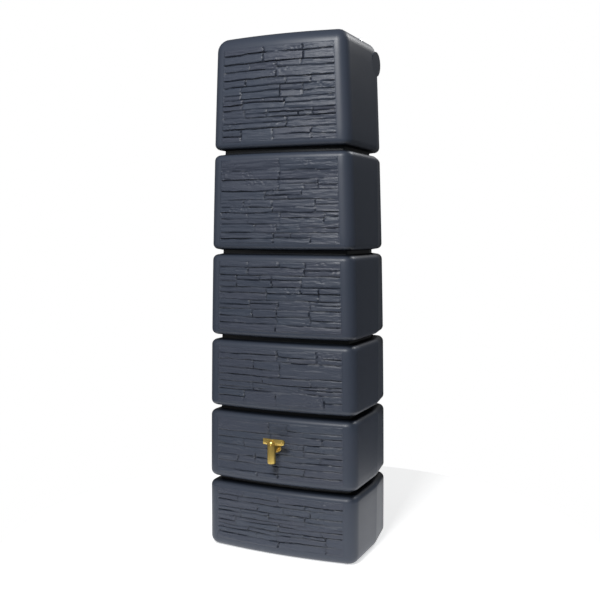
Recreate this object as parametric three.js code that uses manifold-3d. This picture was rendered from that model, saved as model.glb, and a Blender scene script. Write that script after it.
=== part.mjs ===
// A slim rain barrel that stands against a wall: a blow-moulded plastic tank of six stacked
// blocks with grooves between them, a round lid with two child locks, a quarter-turn tap on
// the front, a threaded drain with its plug on the left side and two steel wall brackets.
//
// Millimetres, +Z up. The origin is the centre of the base. The front faces -Y, the wall +Y.
import * as THREE from "three";
import { mergeVertices } from "three/addons/utils/BufferGeometryUtils.js";
import Module from "manifold-3d";

// ---- driving dimensions ----------------------------------------------------------------

const GAP = 0.3; // clearance between pieces that touch on the real object
const OVER = 1; // how far a cut or a join reaches past the surface that it starts from

const TANK = {
  height: 1820,
  halfWidth: 288, // at the base
  taper: 42, // how much the half width has lost at the top
  halfDepth: 200,
  wall: 5,
  frontBulge: 20, // the front is this much further out in the middle than at its corners
  creaseLow: 34, // the widest line of the sides, where the two mould halves meet: its Y at
  creaseHigh: 107, // the base, and its Y at the top
  rearNarrowing: 20, // the half width lost between the crease and the rear
  frontCorner: 42,
  rearCorner: 30,
  smallestCorner: 9,
  grooveLevels: [249, 510, 768, 1074, 1425],
  grooveMouth: 18,
  grooveFloor: 12,
  grooveDepth: 34,
  lip: 20, // edge radius of a block along a groove
  baseEdge: 32,
  topEdge: 46,
};

const PAD = { y: 111, z: 1743, radius: 43, face: 250, depth: 21 };

const NECK = {
  y: 5,
  bore: 90,
  collar: 96,
  recess: 128,
  recessDepth: 14,
  recessDraft: 2,
};

const LID = {
  radius: 122,
  skirt: 4,
  skirtDrop: 12,
  plate: 4.3,
  gripLength: 150,
  gripWidth: 26,
  gripHeight: 13,
  earReach: 146, // centre of each ear's lock
  earRadius: 15,
  seal: 2.4,
};

const LOCK = { shank: 6, head: 11, headHeight: 5, drop: 16, slot: 2.4, pocket: 20, boss: 12 };

const INSERT = { radius: 19, bore: 13.3, length: 17.5, sides: 12, boss: 30, bossDepth: 20, waterway: 12 };

const TAP = {
  axisY: -240, // the upright barrel's axis
  inletZ: 395,
  inlet: 11,
  waterway: 7.5,
  thread: 13,
  threadEnd: -184,
  flange: 18,
  flangeThickness: 2.5,
  hexAcross: 27,
  hexThickness: 7,
  gasket: 2.7,
  barrel: 14.4,
  barrelBottom: 347,
  barrelTop: 412,
  bore: 11,
  roof: 3.2,
  chamfer: 1.5,
  clipZ: 375,
  clipGroove: 1.2, // how far the clip's groove is cut into the bore
};

const PLUG = {
  radius: 10.6,
  bottom: 377,
  bore: 7,
  roof: 4,
  window: 6.5,
  stem: 5,
  drive: 7, // across the square
  driveTop: 422,
  ringHigh: 405.4,
  ringLow: 383,
  ringSection: 0.85,
};

const NOZZLE = { bore: 8, stickOut: 5, length: 20 };

const HANDLE = {
  bottom: 413,
  domeTop: 429,
  barTop: 432.5,
  tail: -31,
  tip: 50,
  thickness: 9,
  dimple: 3,
  dimpleDepth: 2,
  screw: 2,
  screwHead: 4,
  screwHeadHeight: 2.6,
};

const DRAIN = { y: -60, z: 70, hexAcross: 27, headLength: 10, flange: 19, seal: 2.7, stub: 20 };

const BRACKET = {
  x: 150,
  screwY: 112,
  frontY: 92,
  width: 30,
  sheet: 3,
  upright: 40,
  slotWidth: 8,
  slotLength: 16,
  bolt: 4,
  boltHex: 13,
  washer: 9,
  washerThickness: 1.6,
  headHeight: 5.5,
  insert: 8,
  insertLength: 20,
};

const FINE = 36; // facets round a large circle
const COARSE = 24; // facets round a small one
const HEXAGON = 6;

// ---- materials -------------------------------------------------------------------------

const material = (color, roughness, metalness) =>
  new THREE.MeshStandardMaterial({ color, roughness, metalness });

const graphite = material(0x3c434c, 0.55, 0);
const black = material(0x15171a, 0.6, 0);
const rubber = material(0x101112, 0.85, 0);
const tapGold = material(0xb08a3c, 0.35, 0.7);
const brass = material(0xb5954f, 0.4, 1);
const zinc = material(0x9aa0a6, 0.45, 1);
const steel = material(0xb4b8bc, 0.35, 1);

// ---- solids ----------------------------------------------------------------------------

const wasm = await Module();
wasm.setup();

// A closed three.js geometry as a solid that can be joined and cut.
function solid(geometry) {
  const bare = geometry.clone();
  bare.deleteAttribute("normal");
  bare.deleteAttribute("uv");
  const merged = mergeVertices(bare, 1e-3);
  return new wasm.Manifold(
    new wasm.Mesh({
      numProp: 3,
      vertProperties: merged.attributes.position.array,
      triVerts: new Uint32Array(merged.index.array),
    }),
  );
}

// A named mesh from a solid.
function piece(name, body, finish) {
  const mesh = body.getMesh();
  const geometry = new THREE.BufferGeometry()
    .setAttribute("position", new THREE.BufferAttribute(mesh.vertProperties, 3))
    .setIndex(new THREE.BufferAttribute(mesh.triVerts, 1));
  geometry.computeVertexNormals();
  const made = new THREE.Mesh(geometry, finish);
  made.name = name;
  return made;
}

// A round bar along Z from low to high, with an optional second radius at its top.
function barZ(radius, low, high, x = 0, y = 0, sides = COARSE, topRadius = radius) {
  const geometry = new THREE.CylinderGeometry(topRadius, radius, high - low, sides);
  geometry.rotateX(Math.PI / 2);
  geometry.translate(x, y, (low + high) / 2);
  return solid(geometry);
}

// A round bar along Y, between two Y values, about the line x, z.
function barY(radius, low, high, x = 0, z = 0, sides = COARSE) {
  const geometry = new THREE.CylinderGeometry(radius, radius, high - low, sides);
  geometry.translate(x, (low + high) / 2, z);
  return solid(geometry);
}

// A round bar along X, between two X values, about the line y, z.
function barX(radius, low, high, y = 0, z = 0, sides = COARSE) {
  const geometry = new THREE.CylinderGeometry(radius, radius, high - low, sides);
  geometry.rotateZ(Math.PI / 2);
  geometry.translate((low + high) / 2, y, z);
  return solid(geometry);
}

// A block between two corners.
function block(low, high) {
  const size = high.map((value, axis) => value - low[axis]);
  const geometry = new THREE.BoxGeometry(...size);
  geometry.translate(...low.map((value, axis) => value + size[axis] / 2));
  return solid(geometry);
}

// A plate with the outline of a shape drawn in XY, between two heights.
function plate(shape, low, high, curveSegments = 8) {
  const geometry = new THREE.ExtrudeGeometry(shape, {
    depth: high - low,
    bevelEnabled: false,
    curveSegments,
  });
  geometry.translate(0, 0, low);
  return solid(geometry);
}

// A turned solid about the Z axis at x, y, from a profile of [radius, height] points.
function turned(profile, x = 0, y = 0, sides = COARSE) {
  const points = profile.map(([radius, height]) => new THREE.Vector2(radius, height));
  const geometry = new THREE.LatheGeometry(points, sides);
  geometry.rotateX(Math.PI / 2);
  geometry.translate(x, y, 0);
  return solid(geometry);
}

// A ring of rectangular section about the Z axis.
function ring(inner, outer, low, high, x = 0, y = 0, sides = FINE) {
  return barZ(outer, low, high, x, y, sides).subtract(
    barZ(inner, low - OVER, high + OVER, x, y, sides),
  );
}

// The radius of a hexagon's corners from its width across flats.
const hexCorner = (across) => across / Math.sqrt(3);

// ---- the tank --------------------------------------------------------------------------

// Half the tank's width at a height: the sides lean in more and more towards the top.
const halfWidthAt = (z) => TANK.halfWidth - TANK.taper * (z / TANK.height) ** 2;

// Where the crease in the sides is at a height: it leans back towards the top.
const creaseAt = (z) => THREE.MathUtils.mapLinear(z, 0, TANK.height, TANK.creaseLow, TANK.creaseHigh);

// The tank's plan at a height, moved in by an inset: a bulging front, a crease in each side.
function tankPlan(z, inset, steps) {
  const half = halfWidthAt(z) - inset;
  const front = -TANK.halfDepth + inset;
  const rear = TANK.halfDepth - inset;
  const frontRadius = Math.max(TANK.frontCorner - inset, TANK.smallestCorner);
  const rearRadius = Math.max(TANK.rearCorner - inset, TANK.smallestCorner);
  const bulgeAt = (x) => front + TANK.frontBulge * (x / half) ** 2;
  const right = [];
  for (let i = 0; i < steps; i++) {
    const x = ((half - frontRadius) * i) / steps;
    right.push([x, bulgeAt(x)]);
  }
  const cornerX = half - frontRadius;
  const cornerY = bulgeAt(cornerX) + frontRadius;
  for (let i = 0; i <= steps; i++) {
    const angle = (-Math.PI / 2) * (1 - i / steps);
    right.push([
      cornerX + frontRadius * Math.cos(angle),
      cornerY + frontRadius * Math.sin(angle),
    ]);
  }
  right.push([half, creaseAt(z)]);
  const rearX = half - TANK.rearNarrowing - rearRadius;
  for (let i = 0; i <= steps; i++) {
    const angle = ((Math.PI / 2) * i) / steps;
    right.push([
      rearX + rearRadius * Math.cos(angle),
      rear - rearRadius + rearRadius * Math.sin(angle),
    ]);
  }
  const left = right
    .slice(1)
    .map(([x, y]) => [-x, y])
    .reverse();
  return [...right, ...left];
}

// The tank's side profile as [height, inset] levels from base to top, moved in by a skin.
function tankLevels(skin, steps) {
  const levels = [];
  const count = TANK.grooveLevels.length + 1;
  for (let i = 0; i < count; i++) {
    const low = i === 0 ? 0 : TANK.grooveLevels[i - 1] + TANK.grooveMouth / 2;
    const high = i === count - 1 ? TANK.height : TANK.grooveLevels[i] - TANK.grooveMouth / 2;
    const lowRadius = i === 0 ? TANK.baseEdge : TANK.lip;
    const highRadius = i === count - 1 ? TANK.topEdge : TANK.lip;
    for (let k = 0; k <= steps; k++) {
      const angle = ((Math.PI / 2) * k) / steps;
      levels.push([
        low + lowRadius - (lowRadius - skin) * Math.cos(angle),
        lowRadius - (lowRadius - skin) * Math.sin(angle),
      ]);
    }
    for (let k = 0; k <= steps; k++) {
      const angle = ((Math.PI / 2) * k) / steps;
      levels.push([
        high - highRadius + (highRadius - skin) * Math.sin(angle),
        highRadius - (highRadius - skin) * Math.cos(angle),
      ]);
    }
    if (i < count - 1) {
      const floor = TANK.grooveFloor / 2 + skin;
      levels.push([TANK.grooveLevels[i] - floor, TANK.grooveDepth + skin]);
      levels.push([TANK.grooveLevels[i] + floor, TANK.grooveDepth + skin]);
    }
  }
  return levels;
}

// The solid inside the tank's surface once it has been moved in by a skin, with its round
// edges and corners made in steps.
function tankBody(skin, edgeSteps, cornerSteps) {
  const positions = [];
  const indices = [];
  const levels = tankLevels(skin, edgeSteps);
  const count = tankPlan(0, 0, cornerSteps).length;
  for (const [z, inset] of levels)
    for (const [x, y] of tankPlan(z, inset, cornerSteps)) positions.push(x, y, z);
  for (let level = 0; level < levels.length - 1; level++)
    for (let i = 0; i < count; i++) {
      const a = level * count + i;
      const b = level * count + ((i + 1) % count);
      indices.push(a, b, b + count, a, b + count, a + count);
    }
  const last = (levels.length - 1) * count;
  const bottomCentre = positions.length / 3;
  positions.push(0, 0, levels[0][0]);
  positions.push(0, 0, levels.at(-1)[0]);
  for (let i = 0; i < count; i++) {
    const next = (i + 1) % count;
    indices.push(bottomCentre, next, i);
    indices.push(bottomCentre + 1, last + i, last + next);
  }
  const geometry = new THREE.BufferGeometry()
    .setAttribute("position", new THREE.Float32BufferAttribute(positions, 3))
    .setIndex(indices);
  return solid(geometry);
}

// The flat round pad on each side near the rear, which is drilled for a filling hose.
const fillingPad = (side) =>
  side > 0
    ? barX(PAD.radius, PAD.face - PAD.depth, PAD.face, PAD.y, PAD.z, FINE)
    : barX(PAD.radius, -PAD.face, PAD.depth - PAD.face, PAD.y, PAD.z, FINE);

// What is cut away in front of a pad's face where the side stands out further than it does.
const padFacing = (side) =>
  side > 0
    ? barX(PAD.radius, PAD.face, PAD.face + PAD.depth, PAD.y, PAD.z, FINE)
    : barX(PAD.radius, -PAD.face - PAD.depth, -PAD.face, PAD.y, PAD.z, FINE);

// Everything of the tank's plastic that stands inside its outer surface besides the wall.
function tankBosses() {
  const top = TANK.height;
  const cupFloor = top - NECK.recessDepth - TANK.wall;
  const cup = barZ(NECK.recess + NECK.recessDraft + TANK.wall, cupFloor, top, 0, NECK.y, FINE);
  const tapBoss = barY(
    INSERT.boss,
    -TANK.halfDepth,
    INSERT.bossDepth - TANK.halfDepth,
    0,
    TAP.inletZ,
  );
  const drainBoss = barX(
    INSERT.boss,
    -TANK.halfWidth,
    INSERT.bossDepth - TANK.halfWidth,
    DRAIN.y,
    DRAIN.z,
  );
  let bosses = cup.add(tapBoss).add(drainBoss);
  for (const side of [-1, 1]) {
    bosses = bosses
      .add(barZ(LOCK.boss, top - LOCK.pocket - TANK.wall, top, side * LID.earReach, NECK.y))
      .add(
        barZ(
          BRACKET.insert * 2,
          top - BRACKET.insertLength - TANK.wall,
          top,
          side * BRACKET.x,
          BRACKET.screwY,
        ),
      );
  }
  return bosses;
}

// The pockets and holes in the tank's plastic.
function tankHoles() {
  const top = TANK.height;
  const recessFloor = top - NECK.recessDepth;
  const recess = barZ(
    NECK.recess,
    recessFloor,
    top + OVER,
    0,
    NECK.y,
    FINE,
    NECK.recess + NECK.recessDraft,
  ).subtract(barZ(NECK.collar, recessFloor - OVER, top, 0, NECK.y, FINE));
  const seat = INSERT.radius + GAP;
  const seatDepth = INSERT.length + 3 * GAP;
  const faceY = -TANK.halfDepth;
  const faceX = -TANK.halfWidth;
  let holes = recess
    .add(barZ(NECK.bore, recessFloor - 2 * TANK.wall, top + OVER, 0, NECK.y, FINE))
    .add(barY(seat, faceY - OVER, faceY + seatDepth, 0, TAP.inletZ))
    .add(barY(INSERT.waterway, faceY, faceY + 2 * INSERT.bossDepth, 0, TAP.inletZ))
    .add(barX(seat, faceX - OVER, faceX + seatDepth, DRAIN.y, DRAIN.z))
    .add(barX(INSERT.waterway, faceX, faceX + 2 * INSERT.bossDepth, DRAIN.y, DRAIN.z));
  for (const side of [-1, 1]) {
    holes = holes
      .add(barZ(LOCK.shank + GAP, top - LOCK.pocket, top + OVER, side * LID.earReach, NECK.y))
      .add(
        barZ(
          BRACKET.insert + GAP,
          top - BRACKET.insertLength - GAP,
          top + OVER,
          side * BRACKET.x,
          BRACKET.screwY,
        ),
      );
  }
  return holes;
}

function tankShell() {
  const outer = tankBody(0, 3, 4);
  const walls = outer.subtract(tankBody(TANK.wall, 1, 2));
  return walls
    .add(tankBosses().intersect(outer))
    .add(fillingPad(1))
    .add(fillingPad(-1))
    .subtract(padFacing(1))
    .subtract(padFacing(-1))
    .subtract(tankHoles());
}

// ---- the lid ---------------------------------------------------------------------------

const lidUnderside = TANK.height + GAP + LID.seal + GAP;
const lidTop = lidUnderside + LID.plate;
const lockHeadBottom = lidTop + GAP;

// The outline of one of the lid's two ears, which reach over the rim of the recess.
function earShape(side) {
  const shape = new THREE.Shape();
  const reach = side * LID.earReach;
  shape.moveTo(0, NECK.y - LID.earRadius);
  shape.lineTo(reach, NECK.y - LID.earRadius);
  shape.absarc(reach, NECK.y, LID.earRadius, -Math.PI / 2, Math.PI / 2, side < 0);
  shape.lineTo(0, NECK.y + LID.earRadius);
  return shape;
}

// A bar with round ends along X, as an outline.
function slotShape(length, width, x, y) {
  const shape = new THREE.Shape();
  const reach = (length - width) / 2;
  shape.absarc(x + reach, y, width / 2, -Math.PI / 2, Math.PI / 2, false);
  shape.absarc(x - reach, y, width / 2, Math.PI / 2, (3 * Math.PI) / 2, false);
  return shape;
}

function lidCover() {
  const skirtBottom = lidUnderside - LID.skirtDrop;
  const outerWall = barZ(LID.radius, skirtBottom, lidTop, 0, NECK.y, FINE);
  const hollow = barZ(LID.radius - LID.skirt, skirtBottom - OVER, lidUnderside, 0, NECK.y, FINE);
  const grip = plate(
    slotShape(LID.gripLength, LID.gripWidth, 0, NECK.y),
    lidUnderside + OVER,
    lidTop + LID.gripHeight,
  );
  const earBottom = TANK.height + 2 * GAP;
  let cover = outerWall
    .add(plate(earShape(1), earBottom, lidTop))
    .add(plate(earShape(-1), earBottom, lidTop))
    .subtract(hollow)
    .add(grip);
  for (const side of [-1, 1])
    cover = cover.subtract(
      barZ(LOCK.shank + GAP, earBottom - OVER, lidTop + OVER, side * LID.earReach, NECK.y),
    );
  return cover;
}

const lidSeal = () =>
  ring(
    NECK.bore + GAP,
    NECK.collar - GAP,
    TANK.height + GAP,
    TANK.height + GAP + LID.seal,
    0,
    NECK.y,
  );

// A child lock: a shank that drops into the tank's pocket and a head with a coin slot.
function lidLock(side) {
  const x = side * LID.earReach;
  const headTop = lockHeadBottom + LOCK.headHeight;
  const shank = barZ(LOCK.shank, TANK.height - LOCK.drop, lockHeadBottom + OVER, x, NECK.y);
  const head = barZ(LOCK.head, lockHeadBottom, headTop, x, NECK.y, COARSE, LOCK.head - 2);
  const slot = block(
    [x - LOCK.head, NECK.y - LOCK.slot / 2, headTop - LOCK.slot],
    [x + LOCK.head, NECK.y + LOCK.slot / 2, headTop + OVER],
  );
  return shank.add(head).subtract(slot);
}

// ---- the threaded inserts and the drain plug -------------------------------------------

// A brass insert along Y in the front wall.
function tapInsert() {
  const face = -TANK.halfDepth + GAP;
  return barY(INSERT.radius, face, face + INSERT.length, 0, TAP.inletZ, INSERT.sides).subtract(
    barY(INSERT.bore, face - OVER, face + INSERT.length + OVER, 0, TAP.inletZ),
  );
}

// The same insert along X in the left wall.
function drainInsert() {
  const face = -TANK.halfWidth + GAP;
  return barX(INSERT.radius, face, face + INSERT.length, DRAIN.y, DRAIN.z, INSERT.sides).subtract(
    barX(INSERT.bore, face - OVER, face + INSERT.length + OVER, DRAIN.y, DRAIN.z),
  );
}

const drainSealFace = -TANK.halfWidth - GAP;
const drainFlangeFace = drainSealFace - DRAIN.seal - GAP;

const drainPlugSeal = () =>
  barX(DRAIN.flange - GAP, drainSealFace - DRAIN.seal, drainSealFace, DRAIN.y, DRAIN.z).subtract(
    barX(TAP.thread + 2 * GAP, drainSealFace - DRAIN.seal - OVER, drainSealFace + OVER, DRAIN.y, DRAIN.z),
  );

function drainPlug() {
  const flangeOuter = drainFlangeFace - TAP.flangeThickness;
  return barX(
    TAP.thread,
    drainFlangeFace - OVER,
    drainFlangeFace + DRAIN.stub,
    DRAIN.y,
    DRAIN.z,
  )
    .add(barX(DRAIN.flange, flangeOuter, drainFlangeFace, DRAIN.y, DRAIN.z))
    .add(
      barX(
        hexCorner(DRAIN.hexAcross),
        flangeOuter - DRAIN.headLength,
        flangeOuter + OVER,
        DRAIN.y,
        DRAIN.z,
        HEXAGON,
      ),
    );
}

// ---- the tap ---------------------------------------------------------------------------

const gasketFace = -TANK.halfDepth - GAP;
const flangeFace = gasketFace - TAP.gasket - GAP;
const boreTop = TAP.barrelTop - TAP.roof;
const CLIP_GROOVE = 1.1; // half the height of the clip's groove

const tapGasket = () =>
  barY(TAP.flange - GAP, gasketFace - TAP.gasket, gasketFace, 0, TAP.inletZ).subtract(
    barY(TAP.thread + 2 * GAP, gasketFace - TAP.gasket - OVER, gasketFace + OVER, 0, TAP.inletZ),
  );

// The body: a threaded inlet with its flange and hexagon, and the upright barrel.
function tapBody() {
  const flangeFront = flangeFace - TAP.flangeThickness;
  const hexRadius = hexCorner(TAP.hexAcross);
  const hexagon = new THREE.CylinderGeometry(hexRadius, hexRadius, TAP.hexThickness, HEXAGON);
  hexagon.rotateY(Math.PI / HEXAGON);
  hexagon.translate(0, flangeFront - TAP.hexThickness / 2, TAP.inletZ);
  const barrel = turned(
    [
      [0, TAP.barrelBottom],
      [TAP.barrel - TAP.chamfer, TAP.barrelBottom],
      [TAP.barrel, TAP.barrelBottom + TAP.chamfer],
      [TAP.barrel, TAP.barrelTop],
      [0, TAP.barrelTop],
    ],
    0,
    TAP.axisY,
  );
  const clipRadius = TAP.bore + TAP.clipGroove;
  return barrel
    .add(barY(TAP.inlet, TAP.axisY, flangeFront, 0, TAP.inletZ))
    .add(barY(TAP.flange, flangeFront, flangeFace, 0, TAP.inletZ))
    .add(solid(hexagon))
    .add(barY(TAP.thread, flangeFace - OVER, TAP.threadEnd, 0, TAP.inletZ))
    .subtract(barZ(TAP.bore, TAP.barrelBottom - OVER, boreTop, 0, TAP.axisY))
    .subtract(barZ(PLUG.stem + GAP, boreTop - OVER, TAP.barrelTop + OVER, 0, TAP.axisY))
    .subtract(barZ(clipRadius, TAP.clipZ - CLIP_GROOVE, TAP.clipZ + CLIP_GROOVE, 0, TAP.axisY))
    .subtract(barY(TAP.waterway, TAP.axisY, TAP.threadEnd + OVER, 0, TAP.inletZ));
}

// The turning plug: hollow and open below, with a side window, a stem and a square drive.
function tapPlug() {
  const top = boreTop - 2 * GAP;
  const reach = PLUG.ringSection + GAP;
  const floor = PLUG.radius - 2 * PLUG.ringSection;
  const groove = (z) => ring(floor, PLUG.radius + OVER, z - reach, z + reach, 0, TAP.axisY, COARSE);
  const half = PLUG.drive / 2;
  return barZ(PLUG.radius, PLUG.bottom, top, 0, TAP.axisY)
    .add(barZ(PLUG.stem, top - OVER, TAP.barrelTop + OVER, 0, TAP.axisY))
    .add(
      block(
        [-half, TAP.axisY - half, TAP.barrelTop],
        [half, TAP.axisY + half, PLUG.driveTop],
      ),
    )
    .subtract(barZ(PLUG.bore, PLUG.bottom - OVER, top - PLUG.roof, 0, TAP.axisY))
    .subtract(barX(PLUG.window, -PLUG.radius - OVER, 0, TAP.axisY, TAP.inletZ))
    .subtract(groove(PLUG.ringHigh))
    .subtract(groove(PLUG.ringLow))
    .subtract(barZ(HANDLE.screw + GAP, TAP.barrelTop, PLUG.driveTop + OVER, 0, TAP.axisY));
}

// An O-ring in one of the plug's grooves.
function plugRing(z) {
  const reach = PLUG.radius - PLUG.ringSection + GAP / 2;
  const geometry = new THREE.TorusGeometry(reach, PLUG.ringSection, HEXAGON, COARSE);
  geometry.translate(0, TAP.axisY, z);
  return solid(geometry);
}

// The flat ring that holds the plug up in the bore.
const plugClip = () =>
  ring(
    NOZZLE.bore,
    TAP.bore + TAP.clipGroove - GAP,
    TAP.clipZ - CLIP_GROOVE + GAP,
    TAP.clipZ + CLIP_GROOVE - GAP,
    0,
    TAP.axisY,
    COARSE,
  );

// The nozzle: a dark tube in the barrel's mouth.
function outletNozzle() {
  const low = TAP.barrelBottom - NOZZLE.stickOut;
  return ring(NOZZLE.bore, TAP.bore - GAP, low, low + NOZZLE.length, 0, TAP.axisY, COARSE);
}

// The lever's bar, square at its tail and round at its tip.
function handleBar() {
  const radius = (HANDLE.barTop - HANDLE.bottom) / 2;
  const side = new THREE.Shape();
  side.moveTo(HANDLE.tail, -radius);
  side.absarc(HANDLE.tip - radius, 0, radius, -Math.PI / 2, Math.PI / 2, false);
  side.lineTo(HANDLE.tail, radius);
  const bar = new THREE.ExtrudeGeometry(side, {
    depth: HANDLE.thickness,
    bevelEnabled: false,
    curveSegments: 10,
  });
  bar.rotateX(Math.PI / 2);
  bar.translate(0, TAP.axisY + HANDLE.thickness / 2, HANDLE.bottom + radius);
  const face = TAP.axisY - HANDLE.thickness / 2;
  const dimple = barY(
    HANDLE.dimple,
    face - OVER,
    face + HANDLE.dimpleDepth,
    HANDLE.tip - radius,
    HANDLE.bottom + radius,
  );
  return solid(bar).subtract(dimple);
}

// The lever: a domed hub on the plug's drive, with the bar through it.
function tapHandle() {
  const domeBase = HANDLE.domeTop - TAP.barrel;
  const steps = 6;
  const hub = [
    [0, HANDLE.bottom],
    [TAP.barrel, HANDLE.bottom],
  ];
  for (let i = 0; i < steps; i++) {
    const angle = ((Math.PI / 2) * i) / steps;
    hub.push([TAP.barrel * Math.cos(angle), domeBase + TAP.barrel * Math.sin(angle)]);
  }
  hub.push([0, HANDLE.domeTop]);
  const socket = PLUG.drive / 2 + GAP;
  const headSeat = HANDLE.barTop - HANDLE.screwHeadHeight - 2 * GAP;
  return turned(hub, 0, TAP.axisY)
    .add(handleBar())
    .subtract(
      block(
        [-socket, TAP.axisY - socket, HANDLE.bottom - OVER],
        [socket, TAP.axisY + socket, PLUG.driveTop + GAP],
      ),
    )
    .subtract(barZ(HANDLE.screw + GAP, PLUG.driveTop, HANDLE.barTop + OVER, 0, TAP.axisY))
    .subtract(barZ(HANDLE.screwHead + GAP, headSeat, HANDLE.barTop + OVER, 0, TAP.axisY));
}

function handleScrew() {
  const headTop = HANDLE.barTop - GAP;
  const headBottom = headTop - HANDLE.screwHeadHeight;
  const shank = barZ(HANDLE.screw, TAP.barrelTop + 2, headBottom + OVER, 0, TAP.axisY);
  return shank.add(barZ(HANDLE.screwHead, headBottom, headTop, 0, TAP.axisY));
}

// ---- the wall brackets -----------------------------------------------------------------

// An angle bracket: a flat leg on the tank's top and an upright leg in the wall's plane.
function wallBracket(side) {
  const x = side * BRACKET.x;
  const half = BRACKET.width / 2;
  const low = TANK.height + GAP;
  const rear = TANK.halfDepth;
  const flat = block([x - half, BRACKET.frontY, low], [x + half, rear, low + BRACKET.sheet]);
  const upright = block(
    [x - half, rear - BRACKET.sheet, low],
    [x + half, rear, low + BRACKET.upright],
  );
  const slot = new THREE.Shape();
  const radius = BRACKET.slotWidth / 2;
  const reach = BRACKET.slotLength / 2 - radius;
  const slotZ = low + BRACKET.upright - BRACKET.slotLength;
  slot.absarc(x, slotZ + reach, radius, 0, Math.PI, false);
  slot.absarc(x, slotZ - reach, radius, Math.PI, 2 * Math.PI, false);
  const cut = new THREE.ExtrudeGeometry(slot, { depth: 40, bevelEnabled: false, curveSegments: 8 });
  cut.rotateX(Math.PI / 2);
  cut.translate(0, rear + 20, 0);
  return flat
    .add(upright)
    .subtract(solid(cut))
    .subtract(barZ(BRACKET.bolt + GAP, low - OVER, low + 10, x, BRACKET.screwY));
}

const bracketInsert = (side) =>
  barZ(
    BRACKET.insert,
    TANK.height - BRACKET.insertLength,
    TANK.height - GAP,
    side * BRACKET.x,
    BRACKET.screwY,
    INSERT.sides,
  ).subtract(
    barZ(
      BRACKET.bolt + GAP,
      TANK.height - BRACKET.insertLength - OVER,
      TANK.height + OVER,
      side * BRACKET.x,
      BRACKET.screwY,
    ),
  );

const washerBottom = TANK.height + GAP + BRACKET.sheet + GAP;

const bracketWasher = (side) =>
  ring(
    BRACKET.bolt + GAP,
    BRACKET.washer,
    washerBottom,
    washerBottom + BRACKET.washerThickness,
    side * BRACKET.x,
    BRACKET.screwY,
    COARSE,
  );

function bracketScrew(side) {
  const headBottom = washerBottom + BRACKET.washerThickness + GAP;
  const x = side * BRACKET.x;
  return barZ(BRACKET.bolt, TANK.height - BRACKET.insertLength + 2, headBottom + OVER, x, BRACKET.screwY)
    .add(
      barZ(
        hexCorner(BRACKET.boltHex),
        headBottom,
        headBottom + BRACKET.headHeight,
        x,
        BRACKET.screwY,
        HEXAGON,
      ),
    );
}

// ---- the assembly ----------------------------------------------------------------------

const barrel = new THREE.Group();
barrel.add(
  piece("tank_shell", tankShell(), graphite),
  piece("lid_cover", lidCover(), graphite),
  piece("lid_seal", lidSeal(), rubber),
  piece("tap_insert", tapInsert(), brass),
  piece("tap_gasket", tapGasket(), rubber),
  piece("tap_body", tapBody(), tapGold),
  piece("tap_plug", tapPlug(), black),
  piece("plug_ring_upper", plugRing(PLUG.ringHigh), rubber),
  piece("plug_ring_lower", plugRing(PLUG.ringLow), rubber),
  piece("plug_clip", plugClip(), steel),
  piece("outlet_nozzle", outletNozzle(), black),
  piece("tap_handle", tapHandle(), tapGold),
  piece("handle_screw", handleScrew(), steel),
  piece("drain_insert", drainInsert(), brass),
  piece("drain_plug", drainPlug(), black),
  piece("drain_plug_seal", drainPlugSeal(), rubber),
);
for (const [label, side] of [
  ["left", -1],
  ["right", 1],
])
  barrel.add(
    piece(`lid_lock_${label}`, lidLock(side), black),
    piece(`wall_bracket_${label}`, wallBracket(side), zinc),
    piece(`bracket_insert_${label}`, bracketInsert(side), brass),
    piece(`bracket_washer_${label}`, bracketWasher(side), zinc),
    piece(`bracket_screw_${label}`, bracketScrew(side), steel),
  );

export default barrel;
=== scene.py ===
"""The looks of a slim rain barrel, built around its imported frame.

Every piece is made in metres in the frame's own axes: +Z up, the front towards -Y and the wall
towards +Y. Each sub-assembly is a class that makes its pieces and dresses them, and main()
builds them in order.
"""

from __future__ import annotations

import logging
import math
from collections.abc import Callable, Mapping, Sequence
from dataclasses import dataclass, field
from enum import Enum
from typing import Any

import bmesh
import bpy
import numpy as np
from mathutils import Matrix, Vector

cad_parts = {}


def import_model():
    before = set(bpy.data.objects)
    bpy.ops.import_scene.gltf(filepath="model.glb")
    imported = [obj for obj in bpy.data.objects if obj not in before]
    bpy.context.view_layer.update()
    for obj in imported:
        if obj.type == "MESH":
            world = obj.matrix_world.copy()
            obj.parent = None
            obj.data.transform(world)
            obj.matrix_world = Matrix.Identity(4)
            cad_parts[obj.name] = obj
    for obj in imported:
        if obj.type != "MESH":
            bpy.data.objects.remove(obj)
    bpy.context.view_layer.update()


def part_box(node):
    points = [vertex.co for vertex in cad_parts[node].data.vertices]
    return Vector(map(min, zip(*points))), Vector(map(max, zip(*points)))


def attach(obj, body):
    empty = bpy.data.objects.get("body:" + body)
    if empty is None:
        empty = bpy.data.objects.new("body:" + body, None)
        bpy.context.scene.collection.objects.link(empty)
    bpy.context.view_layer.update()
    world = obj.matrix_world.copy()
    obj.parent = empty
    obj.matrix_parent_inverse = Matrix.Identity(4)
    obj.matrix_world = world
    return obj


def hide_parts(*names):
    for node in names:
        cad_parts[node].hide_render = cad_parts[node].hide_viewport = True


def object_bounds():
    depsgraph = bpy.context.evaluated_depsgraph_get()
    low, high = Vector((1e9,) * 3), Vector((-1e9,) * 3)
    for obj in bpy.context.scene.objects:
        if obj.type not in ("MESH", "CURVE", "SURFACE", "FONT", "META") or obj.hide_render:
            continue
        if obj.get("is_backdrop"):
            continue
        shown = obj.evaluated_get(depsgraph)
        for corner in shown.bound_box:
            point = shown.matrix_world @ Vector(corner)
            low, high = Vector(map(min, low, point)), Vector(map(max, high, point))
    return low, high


LOG = logging.getLogger("rain_barrel")
MM = 0.001
SAME_POINT = 0.002 * MM
TURN = 2 * math.pi

Colour = tuple[float, float, float]
Profile = Sequence[tuple[float, float]]


# ---- shaders ---------------------------------------------------------------------------


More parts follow.
